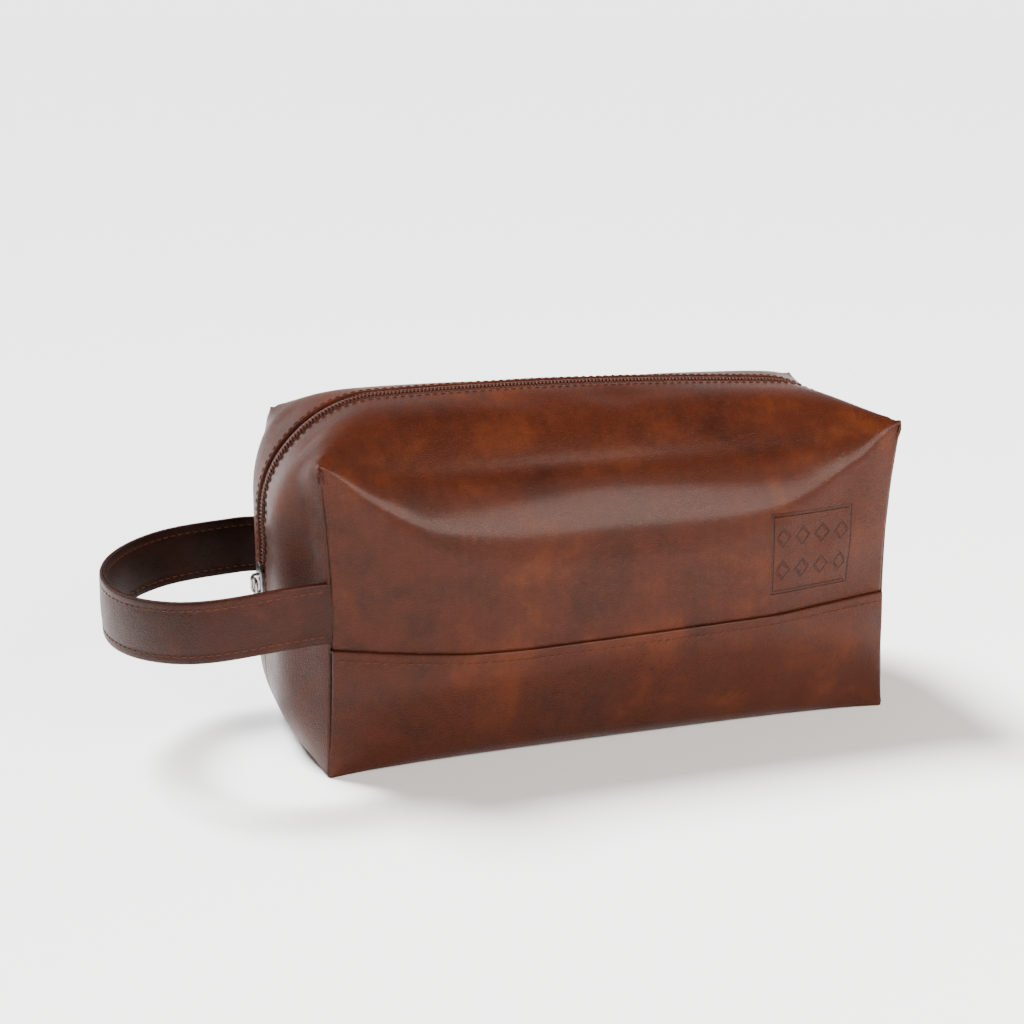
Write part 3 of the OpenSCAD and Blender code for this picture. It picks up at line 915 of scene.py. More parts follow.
def makeThread():
    material, tree, shader = newMaterial("waxedThread", Roughness=0.6, Specular_IOR_Level=0.15)
    twist = addNode(tree, "ShaderNodeTexWave", {"Vector": objectPlace(tree), "Scale": 900.0,
                                                "Distortion": 1.5}, bands_direction="DIAGONAL").outputs[1]
    tree.links.new(mixColor(tree, twist, rgb(46, 20, 10), rgb(84, 43, 22)), shader.inputs["Base Color"])
    addBump(tree, shader, twist, 0.5, 0.0001)
    return material


strapLook = dict(leatherLook, dark=rgb(26, 8, 4), middle=rgb(37, 12, 6), light=rgb(50, 19, 9))
darkLook = dict(leatherLook, dark=rgb(16, 6, 4), middle=rgb(26, 10, 6), light=rgb(36, 15, 9),
                roughness=0.55, coat=0.02, gloss=0.1)
liningColors = (rgb(34, 26, 22), rgb(66, 54, 47))
bindingColors = (rgb(30, 22, 19), rgb(58, 46, 40))
tapeColors = (rgb(44, 15, 11), rgb(84, 36, 26))
frontHide = makeLeather("frontHide", leatherLook, streaks=0.05, stamped=True)
backHide = makeLeather("backHide", leatherLook, streaks=0.05)
bandHide = makeLeather("bandHide", leatherLook, streaks=0.03)
strapHide = makeLeather("strapHide", strapLook)
darkHide = makeLeather("darkHide", darkLook)
liningCloth = makeCloth("liningCloth", liningColors, 4200.0, 4200.0, 0.0002)
bindingCloth = makeCloth("bindingCloth", bindingColors, 3000.0, 5200.0, 0.0003, ribs=2600.0)
zipCloth = makeCloth("zipCloth", tapeColors, 5200.0, 3600.0, 0.0003, slant=0.6)
nodeLining = makeNodeCloth("nodeLining", liningColors, 4200.0, 0.0002)
boardPulp = makeBoard()
metal = makeMetal()
nylon = makeNylon()
threadFibre = makeThread()
print("materials ready")


# the leather: each half runs from the zipper over the top, down its side, and down both ends
leather = {
    "thickness": 0.0012,
    "seamRadius": 0.0013,
    "seamReach": 0.0017,
    "seamTail": 0.004,
    "seamTurn": 135,
    "rollReach": 2.414,
    "cornerFade": 0.016,
    "zipGap": 0.0065,
    "zipRadius": 0.0011,
    "zipTurn": 100,
    "lapHeight": 0.043,
    "columns": 111,
    "topRows": 27,
    "wallRows": 64,
}
topWidth = 0.05
seamPullBack = leather["rollReach"] * leather["seamRadius"] - leather["seamReach"]
cellX = 2 * form["halfLength"] / nx
cellY = 2 * halfWidth / ny


def seamRoll(z):
    # how full the rolled seam is at a height: it fades out into the top corners
    return smooth((cornerZ - np.asarray(z)) / leather["cornerFade"] - 0.12)


def rollShade(count):
    # painted shade: dark towards the inside of a turned edge, where the leather turns down into a seam
    # groove
    return smooth((np.arange(count) - 0.2) / 3.2)


def halfSheet(side, gap, low, turnedEdges=True, pullBack=None):
    # one half of the bag as a sheet: the top, the side wall and half of each end
    radius = leather["seamRadius"]
    hemTail = 0.0005
    full = seamPullBack if pullBack is None else pullBack
    share = np.linspace(0, 1, leather["topRows"])
    cols = np.linspace(0, nx, leather["columns"])
    edge = topAtWidth(side, cols, gap)
    topRows = topRow(side, edge[None, :] * (1 - share)[:, None])
    topCols = np.broadcast_to(cols, topRows.shape)
    top = sample(crossGrid, topRows, topCols)
    ks = np.linspace(nz, low * nz / cornerZ, leather["wallRows"])
    zs = ks * cornerZ / nz
    roll = seamRoll(zs)
    pull = roll * full / cellX
    wallCols = pull[:, None] + cols[None, :] / nx * (nx - 2 * pull[:, None])
    wallRows = np.broadcast_to(wallRow(side, ks)[:, None], wallCols.shape)
    wall = sample(crossGrid, wallRows, wallCols)
    flatX = (cols / nx - 0.5) * 0.27
    flatTop = flatMap(flatX, topWidth * share)
    flatWall = flatMap(flatX, topWidth + cornerZ - zs)
    grids = []
    if turnedEdges:
        hem = turned(top[0], top[1], normalAt(crossGrid, topRows[0], topCols[0]), leather["zipRadius"],
                     leather["zipTurn"], hemTail)
        topAll = np.concatenate([hem[::-1], top])
        hemUv = spreadUv(flatTop[0], len(hem), (0, -0.0004))
        grids.append([topAll, np.concatenate([hemUv[::-1], flatTop]), np.zeros(topAll.shape[:2])])
        sides = []
        for c, c1 in ((0, 1), (-1, -2)):
            normal = normalAt(crossGrid, wallRows[:, c], wallCols[:, c])
            sides.append(turned(wall[:, c], wall[:, c1], normal, radius * roll, leather["seamTurn"],
                                leather["seamTail"] * roll))
        left = sides[0][::-1].transpose(1, 0, 2)
        right = sides[1].transpose(1, 0, 2)
        count = left.shape[1]
        leftUv = spreadUv(flatWall[:, 0], count, (-0.0005, 0))[::-1]
        rightUv = spreadUv(flatWall[:, -1], count, (0.0005, 0))
        uv = np.concatenate([leftUv.transpose(1, 0, 2), flatWall, rightUv.transpose(1, 0, 2)], 1)
        # painted shade on the turned seam rolls, fading out with the roll into the top corners
        grooveShadeMark = np.zeros((len(zs), len(cols) + 2 * count))
        grooveShadeMark[:, :count] = roll[:, None] ** 2 * rollShade(count)[::-1]
        grooveShadeMark[:, -count:] = roll[:, None] ** 2 * rollShade(count)
        grids.append([np.concatenate([left, wall, right], 1), uv, grooveShadeMark])
    else:
        grids.append([top, flatTop, np.zeros(top.shape[:2])])
        grids.append([wall, flatWall, np.zeros(wall.shape[:2])])
    for end, col in ((-1, 0), (1, -1)):
        ke = np.linspace(1.2, nz, 60)
        if turnedEdges:
            # closer rows where the slit for the zipper opens
            ke = np.concatenate([np.linspace(0.35, 10.2, 22), np.linspace(10.4, 12.4, 12),
                                 np.linspace(12.8, nz, 36)])
        ze = ke * cornerZ / nz
        rollE = seamRoll(ze)
        rows = endRow(end, ke)
        openGap = gap * smooth((ze - zipLow) / 0.0035 + 0.3)
        width = np.maximum(openGap, 0.0012 if turnedEdges else 0.0006)
        edgeE = colsAtWidth(side, rows, width)
        edgeE[-1] = edge[col]
        pullE = rollE * full / cellY
        js = pullE[:, None] + (edgeE - pullE)[:, None] * share[None, :]
        wallE = sample(longGrid, np.broadcast_to(rows[:, None], js.shape), endCol(side, js))
        wallE[-1] = top[::-1, col]
        uvE = np.stack(np.broadcast_arrays((end * (0.135 + cornerZ - ze))[:, None],
                                           (topWidth * np.linspace(1, 0, len(share)))[None, :]), -1)
        grooveShadeMarkE = np.zeros(js.shape)
        if turnedEdges:
            nSeam = normalAt(longGrid, rows, endCol(side, js[:, 0]))
            nZip = normalAt(longGrid, rows, endCol(side, js[:, -1]))
            seamCols = turned(wallE[:, 0], wallE[:, 1], nSeam, radius * rollE, leather["seamTurn"],
                              leather["seamTail"] * rollE).transpose(1, 0, 2)
            hemCols = turned(wallE[:, -1], wallE[:, -2], nZip, leather["zipRadius"],
                             leather["zipTurn"], hemTail)
            hemCols[:, -1] = hem[:, col]
            hemCols = hemCols.transpose(1, 0, 2)
            count = seamCols.shape[1]
            wallE = np.concatenate([seamCols[:, ::-1], wallE, hemCols], 1)
            seamUv = spreadUv(uvE[:, 0], count, (0, 0.0005))[::-1]
            hemUv = spreadUv(uvE[:, -1], count, (0, -0.0004))
            uvE = np.concatenate([seamUv.transpose(1, 0, 2), uvE, hemUv.transpose(1, 0, 2)], 1)
            # painted shade on the end's turned seam roll
            grooveShadeMarkE = np.zeros(wallE.shape[:2])
            grooveShadeMarkE[:, :count] = rollE[:, None] ** 2 * rollShade(count)[::-1]
            wallE[..., 2] = np.maximum(wallE[..., 2], 0.0006)
        grids.append([wallE, uvE, grooveShadeMarkE])
    return weldGrids(grids)


def bendWithFlap(piece):
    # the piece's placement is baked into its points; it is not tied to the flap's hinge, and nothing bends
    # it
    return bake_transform(piece)


sideNames = {-1: "front", 1: "back"}
for side, name in sideNames.items():
    sheet = halfSheet(side, leather["zipGap"] + leather["zipRadius"], leather["lapHeight"])
    points, faces, uvs, seam = thicken(sheet, 0, leather["thickness"])
    piece = makePiece(name + "Leather", points, faces, frontHide if side < 0 else backHide,
                      "brown_leather", uvs=uvs, seam=seam)
    bendWithFlap(piece)
    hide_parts(name + "_panel", name + "_top_panel")
print("leather halves made")

# the lining, a thin cloth behind the leather
lining = {"depth": 0.0024, "thickness": 0.0004, "gap": 0.0085, "low": 0.006, "pullBack": 0.0022}
for side, name in sideNames.items():
    sheet = halfSheet(side, lining["gap"], lining["low"], turnedEdges=False, pullBack=lining["pullBack"])
    points, faces, uvs, _ = thicken(sheet, lining["depth"], lining["thickness"])
    piece = makePiece(name + "Lining", points, faces, liningCloth, "lining_cloth", uvs=uvs)
    bendWithFlap(piece)
    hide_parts(name + "_lining", name + "_top_lining")
print("linings made")

# the base band: a second layer up the front and back and under the bag, its top edge turned under
band = {
    "topLine": ((-0.125, 0.0018), (-0.107, 0.0000), (-0.090, -0.0013), (-0.070, -0.0022), (-0.045, -0.0025),
                (-0.010, -0.0018), (0.034, -0.0007), (0.081, 0.0002), (0.125, 0.0015)),
    "lift": 0.0014,
    "edgeRadius": 0.00085,
    "edgeTurn": 165,
    "thickness": 0.0008,
    "seamTail": 0.003,
    "stitchDrop": 0.0032,
}


def bandGrid():
    # rows from the back's upper edge, under the bag, to the front's upper edge
    cols = np.linspace(0, nx, leather["columns"])
    xs = (cols / nx - 0.5) * 2 * form["halfLength"]
    line = np.array(band["topLine"])
    topK = (bandTop + np.interp(xs, line[:, 0], line[:, 1])) * nz / cornerZ
    up = np.concatenate([np.linspace(0, 0.55, 12), np.linspace(0.6, 0.93, 14), [0.96, 0.98, 1.0]])
    rows, lift = [], []
    for share in up[::-1]:
        rows.append(wallRow(1, topK * share))
        lift.append(share)
    for j in np.linspace(ny, 0, 45)[1:-1]:
        rows.append(np.full(len(cols), wallRow(1, j - ny) if j >= mid else mid - j))
        lift.append(0)
    for share in up:
        rows.append(mid + topK * share)
        lift.append(share)
    return cols, np.array(rows), np.array(lift)


def makeBand():
    cols, rows, height = bandGrid()
    radius = leather["seamRadius"]
    pull = seamPullBack / cellX
    at = pull + cols[None, :] / nx * (nx - 2 * pull) + 0 * rows
    points = sample(crossGrid, rows, at)
    normal = normalAt(crossGrid, rows, at)
    lift = band["lift"] * smooth((height - 0.35) / 0.45) + 0.0002 * smooth(height / 0.2)
    points = points + normal * lift[:, None, None]
    edges = []
    for r, r1 in ((0, 1), (-1, -2)):
        edges.append(turned(points[r], points[r1], normal[r], band["edgeRadius"], band["edgeTurn"], 0.001))
    edge = len(edges[0])
    normals = np.concatenate([np.repeat(normal[:1], edge, 0), normal, np.repeat(normal[-1:], edge, 0)])
    main = np.concatenate([edges[0][::-1], points, edges[1]])
    stitchLines = []
    for r, step in ((edge, 1), (len(main) - edge - 1, -1)):
        below = main[r + step * np.arange(14)]
        down = np.concatenate([[0], np.cumsum(np.linalg.norm(np.diff(below, axis=0), axis=-1).mean(1))])
        n = int(np.searchsorted(down[1:], band["stitchDrop"])) + 1
        share = (band["stitchDrop"] - down[n - 1]) / (down[n] - down[n - 1])
        stitchLines.append((below[n - 1] + (below[n] - below[n - 1]) * share, normals[r + step * n]))
    turn, tail = leather["seamTurn"], band["seamTail"]
    left = turned(main[:, 0], main[:, 1], normals[:, 0], radius, turn, tail)
    right = turned(main[:, -1], main[:, -2], normals[:, -1], radius, turn, tail)
    whole = np.concatenate([left[::-1].transpose(1, 0, 2), main, right.transpose(1, 0, 2)], 1)
    whole[..., 2] = np.maximum(whole[..., 2], 0.0)
    u = np.linspace(-0.14, 0.14, whole.shape[1])
    along = np.concatenate([[0], np.cumsum(np.linalg.norm(np.diff(main, axis=0), axis=-1).mean(1))])
    uv = flatMap(u, along)
    # painted shade: darker towards the inside of the turned side seams and of the band's turned-under top
    # edges
    grooveShadeMark = np.zeros(whole.shape[:2])
    side = len(left)
    grooveShadeMark[:, :side] = rollShade(side)[::-1]
    grooveShadeMark[:, -side:] = rollShade(side)
    grooveShadeMark[:edge] = np.maximum(grooveShadeMark[:edge], rollShade(edge)[::-1, None])
    grooveShadeMark[-edge:] = np.maximum(grooveShadeMark[-edge:], rollShade(edge)[:, None])
    sheet = weldGrids([[whole, uv, grooveShadeMark]])
    points, faces, uvs, seam = thicken(sheet, 0, band["thickness"])
    points[:, 2] = np.maximum(points[:, 2], 0.0)
    piece = makePiece("baseBand", points, faces, bandHide, "brown_leather", body="bag", uvs=uvs, seam=seam)
    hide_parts("base_band")
    for (line, normal), name in zip(stitchLines, ("back", "front")):
        makePiece(name + "BandStitches", *stitchRow(line, normal), threadFibre, "thread", body="bag")


makeBand()
print("base band made")

# the zipper: tapes, two interlocked spirals, and the stitches along the leather's edge
zipper = {
    "tape": (0.0026, 0.0135),
    "tapeDepth": 0.0015,
    "tapeThickness": 0.0005,
    "coilMiddle": 0.00125,
    "coilHalf": (0.00155, 0.00095),
    "coilDepth": 0.00125,
    "wire": 0.00036,
    "coreIn": 0.0008,
    "core": 0.0005,
    "pitch": 0.0016,
    "stitchIn": 0.0023,
}
pathRows = np.concatenate([endRow(-1, np.linspace(zipLow * nz / cornerZ, nz, 60))[:-1],
                           endRow(-1, nz) + np.linspace(0, nx, 160),
                           endRow(1, np.linspace(nz, zipLow * nz / cornerZ, 60))[1:]])
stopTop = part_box("top_stops")[1][2]


def makeTape(side):
    widths = np.linspace(*zipper["tape"], 8)
    js = np.array([colsAtWidth(side, pathRows, w) for w in widths]).T
    rows = np.broadcast_to(pathRows[:, None], js.shape)
    points = sample(longGrid, rows, endCol(side, js))
    along = distances(points[:, 0])
    sheet = weldGrids([[points, flatMap(widths, along), np.zeros(js.shape)]])
    points, faces, uvs, _ = thicken(sheet, zipper["tapeDepth"], zipper["tapeThickness"])
    piece = makePiece(sideNames[side] + "ZipTape", points, faces, zipCloth, "zip_tape", uvs=uvs)
    bendWithFlap(piece)
    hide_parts(sideNames[side] + "_end_tapes", sideNames[side] + "_top_tape")


def makeCoil(side):
    middle = np.full(len(pathRows), float(mid))
    centre, normal = sample(longGrid, pathRows, middle), normalAt(longGrid, pathRows, middle)
    keep = (centre[:, 2] > stopTop) | (np.abs(centre[:, 0]) < 0.1)
    centre, normal = centre[keep], normal[keep]
    fine, normals, at = resample(centre, 0.0002, normal)
    normals = unit(normals)
    turns = int(at[-1] / zipper["pitch"])
    s = np.linspace(0, turns * zipper["pitch"], turns * 10 + 1)
    phase = 2 * math.pi * s / zipper["pitch"] + (math.pi if side > 0 else 0)
    base = valuesAt(s, at, fine)
    up = unit(valuesAt(s, at, normals))
    across = np.array([0.0, side, 0.0])
    wide, high = zipper["coilHalf"]
    path = (base + across * (zipper["coilMiddle"] + wide * np.cos(phase))[:, None]
            + up * (high * np.sin(phase) - zipper["coilDepth"])[:, None])
    tangent = unit(np.gradient(path, axis=0))
    out = unit(np.cross(tangent, np.cross(up, tangent)))
    sideways = np.cross(tangent, out)
    coil = sweep(path, sideways, out, circleProfile(zipper["wire"], 6))
    line = base[::5] + across * (zipper["coilMiddle"] + zipper["coreIn"]) - up[::5] * zipper["coilDepth"]
    core = sweep(line, np.broadcast_to(across, line.shape), up[::5], circleProfile(zipper["core"], 6))
    piece = makePiece(sideNames[side] + "ZipCoil", *together([coil, core]), nylon, "zip_coil")
    bendWithFlap(piece)
    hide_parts(sideNames[side] + "_end_coils", sideNames[side] + "_top_coil")


def makeZipStitches(side):
    rows = pathRows[4:-4]
    js = colsAtWidth(side, rows, leather["zipGap"] + zipper["stitchIn"])
    line = sample(longGrid, rows, endCol(side, js))
    normal = normalAt(longGrid, rows, endCol(side, js))
    made = stitchRow(line, normal, thread["zipRadius"])
    piece = makePiece(sideNames[side] + "ZipStitches", *made, threadFibre, "thread")
    bendWithFlap(piece)


for side in sideNames:
    makeTape(side)
    makeCoil(side)
    makeZipStitches(side)
print("zipper made")

# the strap: two layers on edge, in a loop from one end seam to the other
strap = {
    "width": 0.025,
    "outer": 0.0013,
    "inner": 0.0012,
    "corner": 0.030,
    "bow": 0.041,
    "droop": 4,
    "layerOut": 0.00066,
    "stitchIn": 0.0032,
    "stitchOut": 0.00108,
    "reachIn": 0.0042,
    "tuck": 0.0019,
}
strapLow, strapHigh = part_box("strap_outer")
legY = strapHigh[1] - 0.0013
bowX = strapLow[0] + 0.0013


def strapPath():
    corner, reach = strap["corner"], strap["bow"]
    cornerY = legY - corner
    bowR = (reach ** 2 + cornerY ** 2 - corner ** 2) / (2 * (reach - corner))
    bowAngle = math.degrees(math.atan2(cornerY, bowR - reach))
    half = [(-form["halfLength"] + strap["reachIn"], legY)]
    half += [(x, legY) for x in np.linspace(-form["halfLength"] - 0.006, bowX + reach + 0.004, 8)]
    for a in np.radians(np.linspace(90, 180 - bowAngle, 12)):
        half.append((bowX + reach + corner * math.cos(a), cornerY + corner * math.sin(a)))
    for a in np.radians(np.linspace(180 - bowAngle, 180, 12))[1:]:
        half.append((bowX + bowR + bowR * math.cos(a), bowR * math.sin(a)))
    line = np.array([(x, -y) for x, y in half] + half[-2::-1])
    path = np.concatenate([line, np.zeros((len(line), 1))], 1)
    path = evened(resample(path, 0.0025)[0], 14)
    away = np.maximum(0, strapTurn[0] - path[:, 0])
    path[:, 2] = strapTurn[2] - away * math.tan(math.radians(strap["droop"]))
    path[:, 2] += 0.0006 * np.sin(path[:, 1] * 55) * smooth(away / 0.02)
    # the legs slip inwards to their seams
    tuck = strap["tuck"] * smooth((path[:, 0] + form["halfLength"] + 0.016) / 0.014)
    path[:, 1] -= np.sign(path[:, 1]) * tuck
    return path


def strapFrames(path):
    tangent = unit(np.gradient(path, axis=0))
    up = np.broadcast_to(np.array([0.0, 0.0, 1.0]), path.shape)
    out = unit(np.cross(tangent, up))
    middle = path - np.array([strapTurn[0], 0, strapTurn[2]])
    out = out * np.sign(np.sum(out * middle, axis=1, keepdims=True))
    up = unit(np.cross(out, tangent))
    up = up * np.sign(up[:, 2:])
    return up, out


def strapProfile(thickness):
    # a layer's section, with a dip along each stitch row
    half = strap["width"] / 2
    row = half - strap["stitchIn"]
    face = [half - 0.0006, row + 0.0012, row, row - 0.0014, row - 0.005, 0]
    lift = [0, 0.0001, -0.00022, 0.0001, 0.0003, 0.0004]
    top = [(w, thickness / 2 + h) for w, h in zip(face, lift)]
    edge = [(half - 0.00015, thickness / 2 - 0.0002), (half, thickness / 2 - 0.0005)]
    low = [(half, -thickness / 2 + 0.0002), (half - 0.0002, -thickness / 2)]
    left = [(-w, h) for w, h in top[-2::-1] + edge + low]
    return top + left + low[::-1] + edge[::-1]


def makeStrap():
    path = strapPath()
    up, out = strapFrames(path)
    pieces = []
    for name, outward, thickness, hide, slot in (
            ("strapOuter", 1, strap["outer"], strapHide, "brown_leather"),
            ("strapInner", -1, strap["inner"], darkHide, "dark_leather")):
        profile = [(w, outward * strap["layerOut"] + outward * h) for w, h in strapProfile(thickness)]
        points, faces = sweep(path, up, out, profile)
        uv = flatMap([w for w, _ in profile], distances(path)).reshape(-1, 2)
        pieces.append(makePiece(name, points, faces, hide, slot, uvs=uv))
    rows = []
    for w in (-1, 1):
        for face in (-1, 1):
            offset = w * (strap["width"] / 2 - strap["stitchIn"])
            line = path + up * offset + out * (face * strap["stitchOut"])
            rows.append(stitchRow(line[1:-1], out[1:-1] * face))
    pieces.append(makePiece("strapStitches", *together(rows), threadFibre, "thread"))
    for piece in pieces:
        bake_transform(piece)
    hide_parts("strap_outer", "strap_ends")
    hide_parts("strap_inner")


makeStrap()
print("strap made")

# the slider, its bridge, the puller and the stops
hardware = {
    "plate": 0.0011,
    "dome": 0.00025,
    "bevel": 0.0003,
    "rimHeight": 0.0018,
    "wire": 0.0006,
    "wireWide": 1.7,
    "pullerWire": 0.00062,
    "pullerThickness": 0.0012,
    "hole": 0.0012,
}


def outlinePoints(discs):
    # a convex outline round discs given as (across, along, radius)
    outline = []
    for a in np.linspace(0, 2 * math.pi, 72, endpoint=False):
        d = (math.cos(a), math.sin(a))
        x, y, radius = max(discs, key=lambda c: c[0] * d[0] + c[1] * d[1] + c[2])
        outline.append((x + radius * d[0], y + radius * d[1]))
    return np.array(outline)


def ringAt(loop, grow, level):
    # an outline grown or shrunk by a distance, at a level
    centre = loop.mean(0)
    away = loop - centre
    share = np.maximum(0.05, 1 + grow / np.linalg.norm(away, axis=1, keepdims=True))
    return np.concatenate([centre + away * share, np.full((len(loop), 1), level)], 1)


def slab(outline, low, high, bevel, dome=0.0):
    # an outline made thick with rounded rims; low and high are depths along the outline's normal
    soft = bevel * 0.3
    levels = ((bevel, low), (soft, low + soft), (0, low + bevel), (0, high - bevel), (soft, high - soft),
              (bevel, high), (0.0022, high + dome * 0.7), (0.0038, high + dome))
    rings = [ringAt(outline, -shrink, level) for shrink, level in levels]
    return np.concatenate(rings), ringFaces(len(rings), len(outline))


def upright(part, x, y, z):
    # lays a flat part (across, along, level) against the left end
    points, faces = part
    return np.stack([x - points[:, 2], y + points[:, 0], z + points[:, 1]], 1), faces


def wireBent(points, radius, across, sides, passes):
    # a bent wire: across is a direction that the wire never takes
    path = evened(resample(np.array(points), 0.0004)[0], passes)
    tangent = unit(np.gradient(path, axis=0))
    out = unit(np.cross(tangent, np.broadcast_to(np.array(across), path.shape)))
    return sweep(path, unit(np.cross(out, tangent)), out, circleProfile(radius, sides))


def makeSlider():
    low, high = corners("slider_body")
    middle = (low[2] + high[2]) / 2
    wide, tall = (high[1] - low[1]) / 2, (high[2] - low[2]) / 2
    face = low[0] + hardware["plate"]
    plate = outlinePoints([(s * (wide - 0.0018), -tall + 0.0018, 0.0018) for s in (-1, 1)]
                          + [(s * (wide - 0.0026), tall - 0.0026, 0.0026) for s in (-1, 1)])
    front = slab(plate, 0, hardware["plate"], hardware["bevel"], hardware["dome"])
    parts = [upright(front, face + hardware["dome"], 0, middle),
             upright(slab(plate, 0, 0.0010, hardware["bevel"]), high[0], 0, middle)]
    for s in (-1, 1):
        rim = outlinePoints([(s * (wide - 0.0006), -tall + 0.0024, 0.0005),
                             (s * (wide - 0.0008), tall - 0.0032, 0.0005)])
        parts.append(upright(slab(rim, 0, 0.0016, 0.00015), face + hardware["rimHeight"], 0, middle))
    post = slab(outlinePoints([(0, -tall + 0.002, 0.0003), (0, -tall + 0.0035, 0.0003)]),
                0, high[0] - low[0] - 0.002, 0.0001)
    parts.append(upright(post, high[0] - 0.0005, 0, middle))
    piece = makePiece("sliderBody", *together(parts), metal, "zip_metal", body="slider")
    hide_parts("slider_body")
    low, high = corners("slider_bridge")
    x0, x1 = high[0] + 0.0003, low[0] + hardware["wire"]
    z0, z1 = low[2] + 0.0006, high[2] - 0.0006
    loop = [(x0, 0, z0), (x1 + 0.0008, 0, z0 + 0.0001), (x1, 0, z0 + 0.0012), (x1, 0, z1 - 0.0012),
            (x1 + 0.0008, 0, z1 - 0.0001), (x0, 0, z1)]
    points, faces = wireBent(loop, hardware["wire"], (0.0, 1.0, 0.0), 12, 4)
    points[:, 1] *= hardware["wireWide"]
    piece = makePiece("sliderBridge", points, faces, metal, "zip_metal", body="slider")
    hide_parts("slider_bridge")


def makePuller():
    low, high = corners("puller")
    x, eyeZ = pullerEye[0], pullerEye[2]
    wide = (high[1] - low[1]) / 2 - 0.0001
    top, foot = -0.0073, low[2] - eyeZ  # measured from the eye
    outer = outlinePoints([(s * (wide - 0.0012), top - 0.0012, 0.0012) for s in (-1, 1)]
                          + [(0, foot + 0.0027, 0.0026)])
    radius, half = hardware["hole"], hardware["pullerThickness"] / 2
    hole = np.array(circleProfile(radius, len(outer))) + (0, foot + 0.0035)
    soft, softHole = 0.0003, 0.00015
    rings = [ringAt(loop, grow, level) for loop, grow, level in (
        (hole, 0.0, softHole - half), (hole, softHole, -half),
        (outer, -soft, -half), (outer, 0.0, soft - half), (outer, 0.0, half - soft), (outer, -soft, half),
        (hole, softHole, half), (hole, 0.0, half - softHole))]
    count = len(outer)
    faces = ringFaces(len(rings), count, caps=False)
    last = (len(rings) - 1) * count
    faces += [[last + n, last + (n + 1) % count, (n + 1) % count, n] for n in range(count)]
    parts = [upright((np.concatenate(rings), faces), x, 0, eyeZ)]
    arm = wide - 0.0006
    bow = [(x, -arm, eyeZ + top - 0.001), (x, -arm, eyeZ - 0.0004), (x, -arm + 0.0005, eyeZ),
           (x, arm - 0.0005, eyeZ), (x, arm, eyeZ - 0.0004), (x, arm, eyeZ + top - 0.001)]
    path = evened(resample(np.array(bow), 0.0004)[0], 3)
    out = np.broadcast_to(np.array([-1.0, 0.0, 0.0]), path.shape)
    sideways = np.cross(unit(np.gradient(path, axis=0)), out)
    parts.append(sweep(path, sideways, out, circleProfile(hardware["pullerWire"], 10)))
    raised = outlinePoints([(s * (wide - 0.0022), top - 0.004, 0.0007) for s in (-1, 1)]
                           + [(0, foot + 0.0075, 0.0009)])
    parts.append(upright(slab(raised, 0, 0.00025, 0.0001), x - 0.0005, 0, eyeZ))
    piece = makePiece("puller", *together(parts), metal, "zip_metal", body="puller")
    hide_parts("puller")


def makeStops():
    low, high = corners("top_stops")
    middle = (low[2] + high[2]) / 2
    outline = outlinePoints([(a * 0.0004, b * 0.0011, 0.0006) for a in (-1, 1) for b in (-1, 1)])
    stop = slab(outline, 0, 0.0028, 0.0003)
    parts = [upright(stop, high[0] - 0.0001, s * 0.0015, middle) for s in (-1, 1)]
    piece = makePiece("topStops", *together(parts), metal, "zip_metal", body="bag")
    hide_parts("top_stops")
    low, high = corners("bottom_stop")
    outline = outlinePoints([(a * 0.0018, b * 0.0010, 0.0007) for a in (-1, 1) for b in (-1, 1)])
    points, faces = slab(outline, 0, 0.0026, 0.0003)
    middle = (low[2] + high[2]) / 2
    face = sample(longGrid, endRow(1, middle * nz / cornerZ), float(mid))[0]
    points = np.stack([face - 0.0024 + points[:, 2], points[:, 0], middle + points[:, 1]], 1)
    piece = makePiece("bottomStop", points, [f[::-1] for f in faces], metal, "zip_metal", body="bag")
    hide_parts("bottom_stop")


makeSlider()
makePuller()
makeStops()
print("hardware made")

# inside: the bindings over the seam allowances, the slip pocket, the lining and board in the base
inside = {
    "bindingRadii": (0.00119, 0.00323),
    "bindingIn": 0.0052,
    # the strips of dark leather that paint the shade inside the corner seams
    "weltRadius": 0.0016,
    "weltIn": 0.0024,
    "weltRange": (0.0014, 0.016),
    "pocketDepth": 0.0034,
    "pocketBelly": 0.003,
    "pocketThickness": 0.0012,
}


def cornerStrips(end, zs, inset, profile):
    # two strips that follow the upright seams at one end, a little way in
    parts = []
    for side in (-1, 1):
        corner = sample(longGrid, endRow(end, zs * nz / cornerZ), np.full(len(zs), float(endCol(side, 0))))
        inward = unit(np.array([-end, -side, 0.0]))
        path = corner + inward * inset
        sideways = np.broadcast_to(unit(np.cross([0, 0, 1.0], inward)), path.shape)
        parts.append(sweep(path, sideways, np.broadcast_to(inward, path.shape), profile))
    points, faces = together(parts)
    return points, faces, np.stack([points[:, 2], points[:, 0] + points[:, 1]], 1)


def makeBindings(end, name):
    low, high = corners(name + "_seam_bindings")
    wide, deep = inside["bindingRadii"]
    profile = np.array(circleProfile(1.0, 14)) * (wide, deep)
    points, faces, uvs = cornerStrips(end, np.linspace(low[2], high[2], 40), inside["bindingIn"], profile)
    piece = makePiece(name + "SeamBindings", points, faces, bindingCloth, "binding_tape",
                      body="bag", uvs=uvs)
    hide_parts(name + "_seam_bindings")


def makeSeamShadeStrips(end, name):
    # a narrow strip of dark leather in each corner seam, just behind the rolled edges: painted shade, its
    # darkness stands in for the shade down in the seam's groove
    zs = np.linspace(inside["weltRange"][0], cornerZ - inside["weltRange"][1], 50)
    profile = circleProfile(inside["weltRadius"], 10)
    points, faces, uvs = cornerStrips(end, zs, inside["weltIn"], profile)
    makePiece(name + "SeamWelts", points, faces, darkHide, "dark_leather", body="bag", uvs=uvs)


